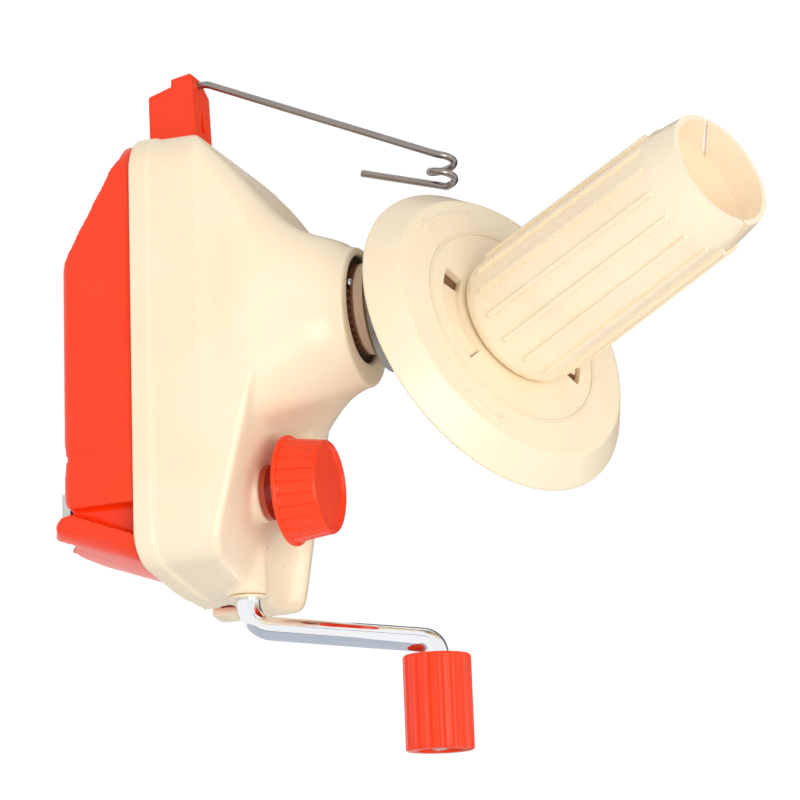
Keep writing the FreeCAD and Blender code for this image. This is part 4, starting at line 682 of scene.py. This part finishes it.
def mirrored_board(name, corners, sheet_colour, dark_colour):
    """A sheet of card that only mirrors see, from its corners in millimetres."""
    card, tree = empty_finish(name)
    place = add(tree, "ShaderNodeTexCoord").outputs["Object"]
    shade = add(
        tree, "ShaderNodeTexNoise", {"Vector": place, "Scale": 1 / (90 * MM), "Detail": 1.0}
    )
    colours = add(
        tree,
        "ShaderNodeMix",
        {"Factor": shade.outputs["Fac"], "A": paint(sheet_colour), "B": paint(dark_colour)},
        data_type="RGBA",
    )
    glow = add(tree, "ShaderNodeEmission", {"Color": colours.outputs["Result"], "Strength": 1.0})
    add(tree, "ShaderNodeOutputMaterial", {"Surface": glow.outputs["Emission"]})
    piece = board(name, [Vector(corner) * MM for corner in corners], card)
    piece.visible_camera = False
    piece.visible_diffuse = False
    piece.visible_shadow = False
    piece.visible_transmission = False


lying = FLOOR / MM + 1
grey_card = [(120, -92), (215, -222), (420, -222), (420, 320), (120, 320)]
mirrored_board("grey_card", [(x, y, lying) for x, y in grey_card], "#B2BAC6", "#D2D8E0")
dark_strip = [(116, -96), (211, -226), (222, -222), (127, -92)]
mirrored_board("dark_strip", [(x, y, lying + 1) for x, y in dark_strip], "#30343C", "#3C414B")
standing = [(-62, -190, lying), (-52, -200, lying), (-52, -200, 120), (-62, -190, 120)]
mirrored_board("dark_standing_strip", standing, "#4B4A52", "#5A5961")
behind = [(-320, 270, lying), (300, 420, lying), (300, 420, 420), (-320, 270, 420)]
mirrored_board("warm_card_behind", behind, "#6A6460", "#857F7A")

world = bpy.data.worlds.new("studio")
world.use_nodes = True
world.node_tree.nodes.clear()
tree = world.node_tree
soft_light = add(tree, "ShaderNodeBackground", {"Color": (1, 1, 1, 1), "Strength": 0.6})
white_room = add(tree, "ShaderNodeBackground", {"Color": (1, 1, 1, 1), "Strength": 1.0})
room = add(
    tree,
    "ShaderNodeMixShader",
    {
        0: in_view(tree),
        1: soft_light.outputs["Background"],
        2: white_room.outputs["Background"],
    },
)
add(tree, "ShaderNodeOutputWorld", {"Surface": room.outputs["Shader"]})
bpy.context.scene.world = world

# Camera: a long lens, where the photograph was taken from. The winder lies on its side in
# the picture, so the camera is rolled.
EYE = Vector((195.87, -691.51, 321.46)) * MM
PICTURE_RIGHT = Vector((0.03735, 0.32042, 0.94654))
PICTURE_DOWN = Vector((0.97387, 0.20064, -0.10635))
SIGHT = Vector((-0.22399, 0.92578, -0.30455))
SENSOR = 36.0
FOCAL_PIXELS = 2561.0
PICTURE_PIXELS = 800.0
camera = bpy.data.objects.new("camera", bpy.data.cameras.new("camera"))
bpy.context.scene.collection.objects.link(camera)
camera.data.sensor_width = SENSOR
camera.data.lens = SENSOR * FOCAL_PIXELS / PICTURE_PIXELS
camera.data.clip_start = 0.05
camera.data.clip_end = 100.0
turn = Matrix((PICTURE_RIGHT, -PICTURE_DOWN, -SIGHT)).transposed()
camera.matrix_world = Matrix.Translation(EYE) @ turn.to_4x4()
bpy.context.scene.camera = camera

# Softboxes: the strongest beside the lens, one on each side of the picture and a weak but
# broader one behind the winder, all turned to its middle.
MIDDLE = Vector((20, 0, 100)) * MM


def softbox(name, direction, distance, side, watts):
    """A square lamp turned to the middle of the winder, its distance and side in metres."""
    lamp = bpy.data.objects.new(name, bpy.data.lights.new(name, "AREA"))
    bpy.context.scene.collection.objects.link(lamp)
    lamp.data.shape = "SQUARE"
    lamp.data.size = side
    lamp.data.energy = watts
    away = direction.normalized()
    lamp.location = MIDDLE + away * distance
    lamp.rotation_mode = "QUATERNION"
    lamp.rotation_quaternion = away.to_track_quat("Z", "Y")


softbox("front_softbox", -SIGHT + 0.3 * PICTURE_RIGHT, 1.3, 0.7, 7.4)
softbox("left_softbox", -SIGHT - 0.9 * PICTURE_RIGHT, 1.2, 0.6, 3.0)
softbox("right_softbox", -SIGHT + 1.2 * PICTURE_RIGHT, 1.2, 0.6, 2.0)
softbox("back_softbox", Vector((0.3, 1.0, 0.6)), 1.4, 0.9, 1.3)

bpy.context.scene.view_settings.view_transform = "Standard"
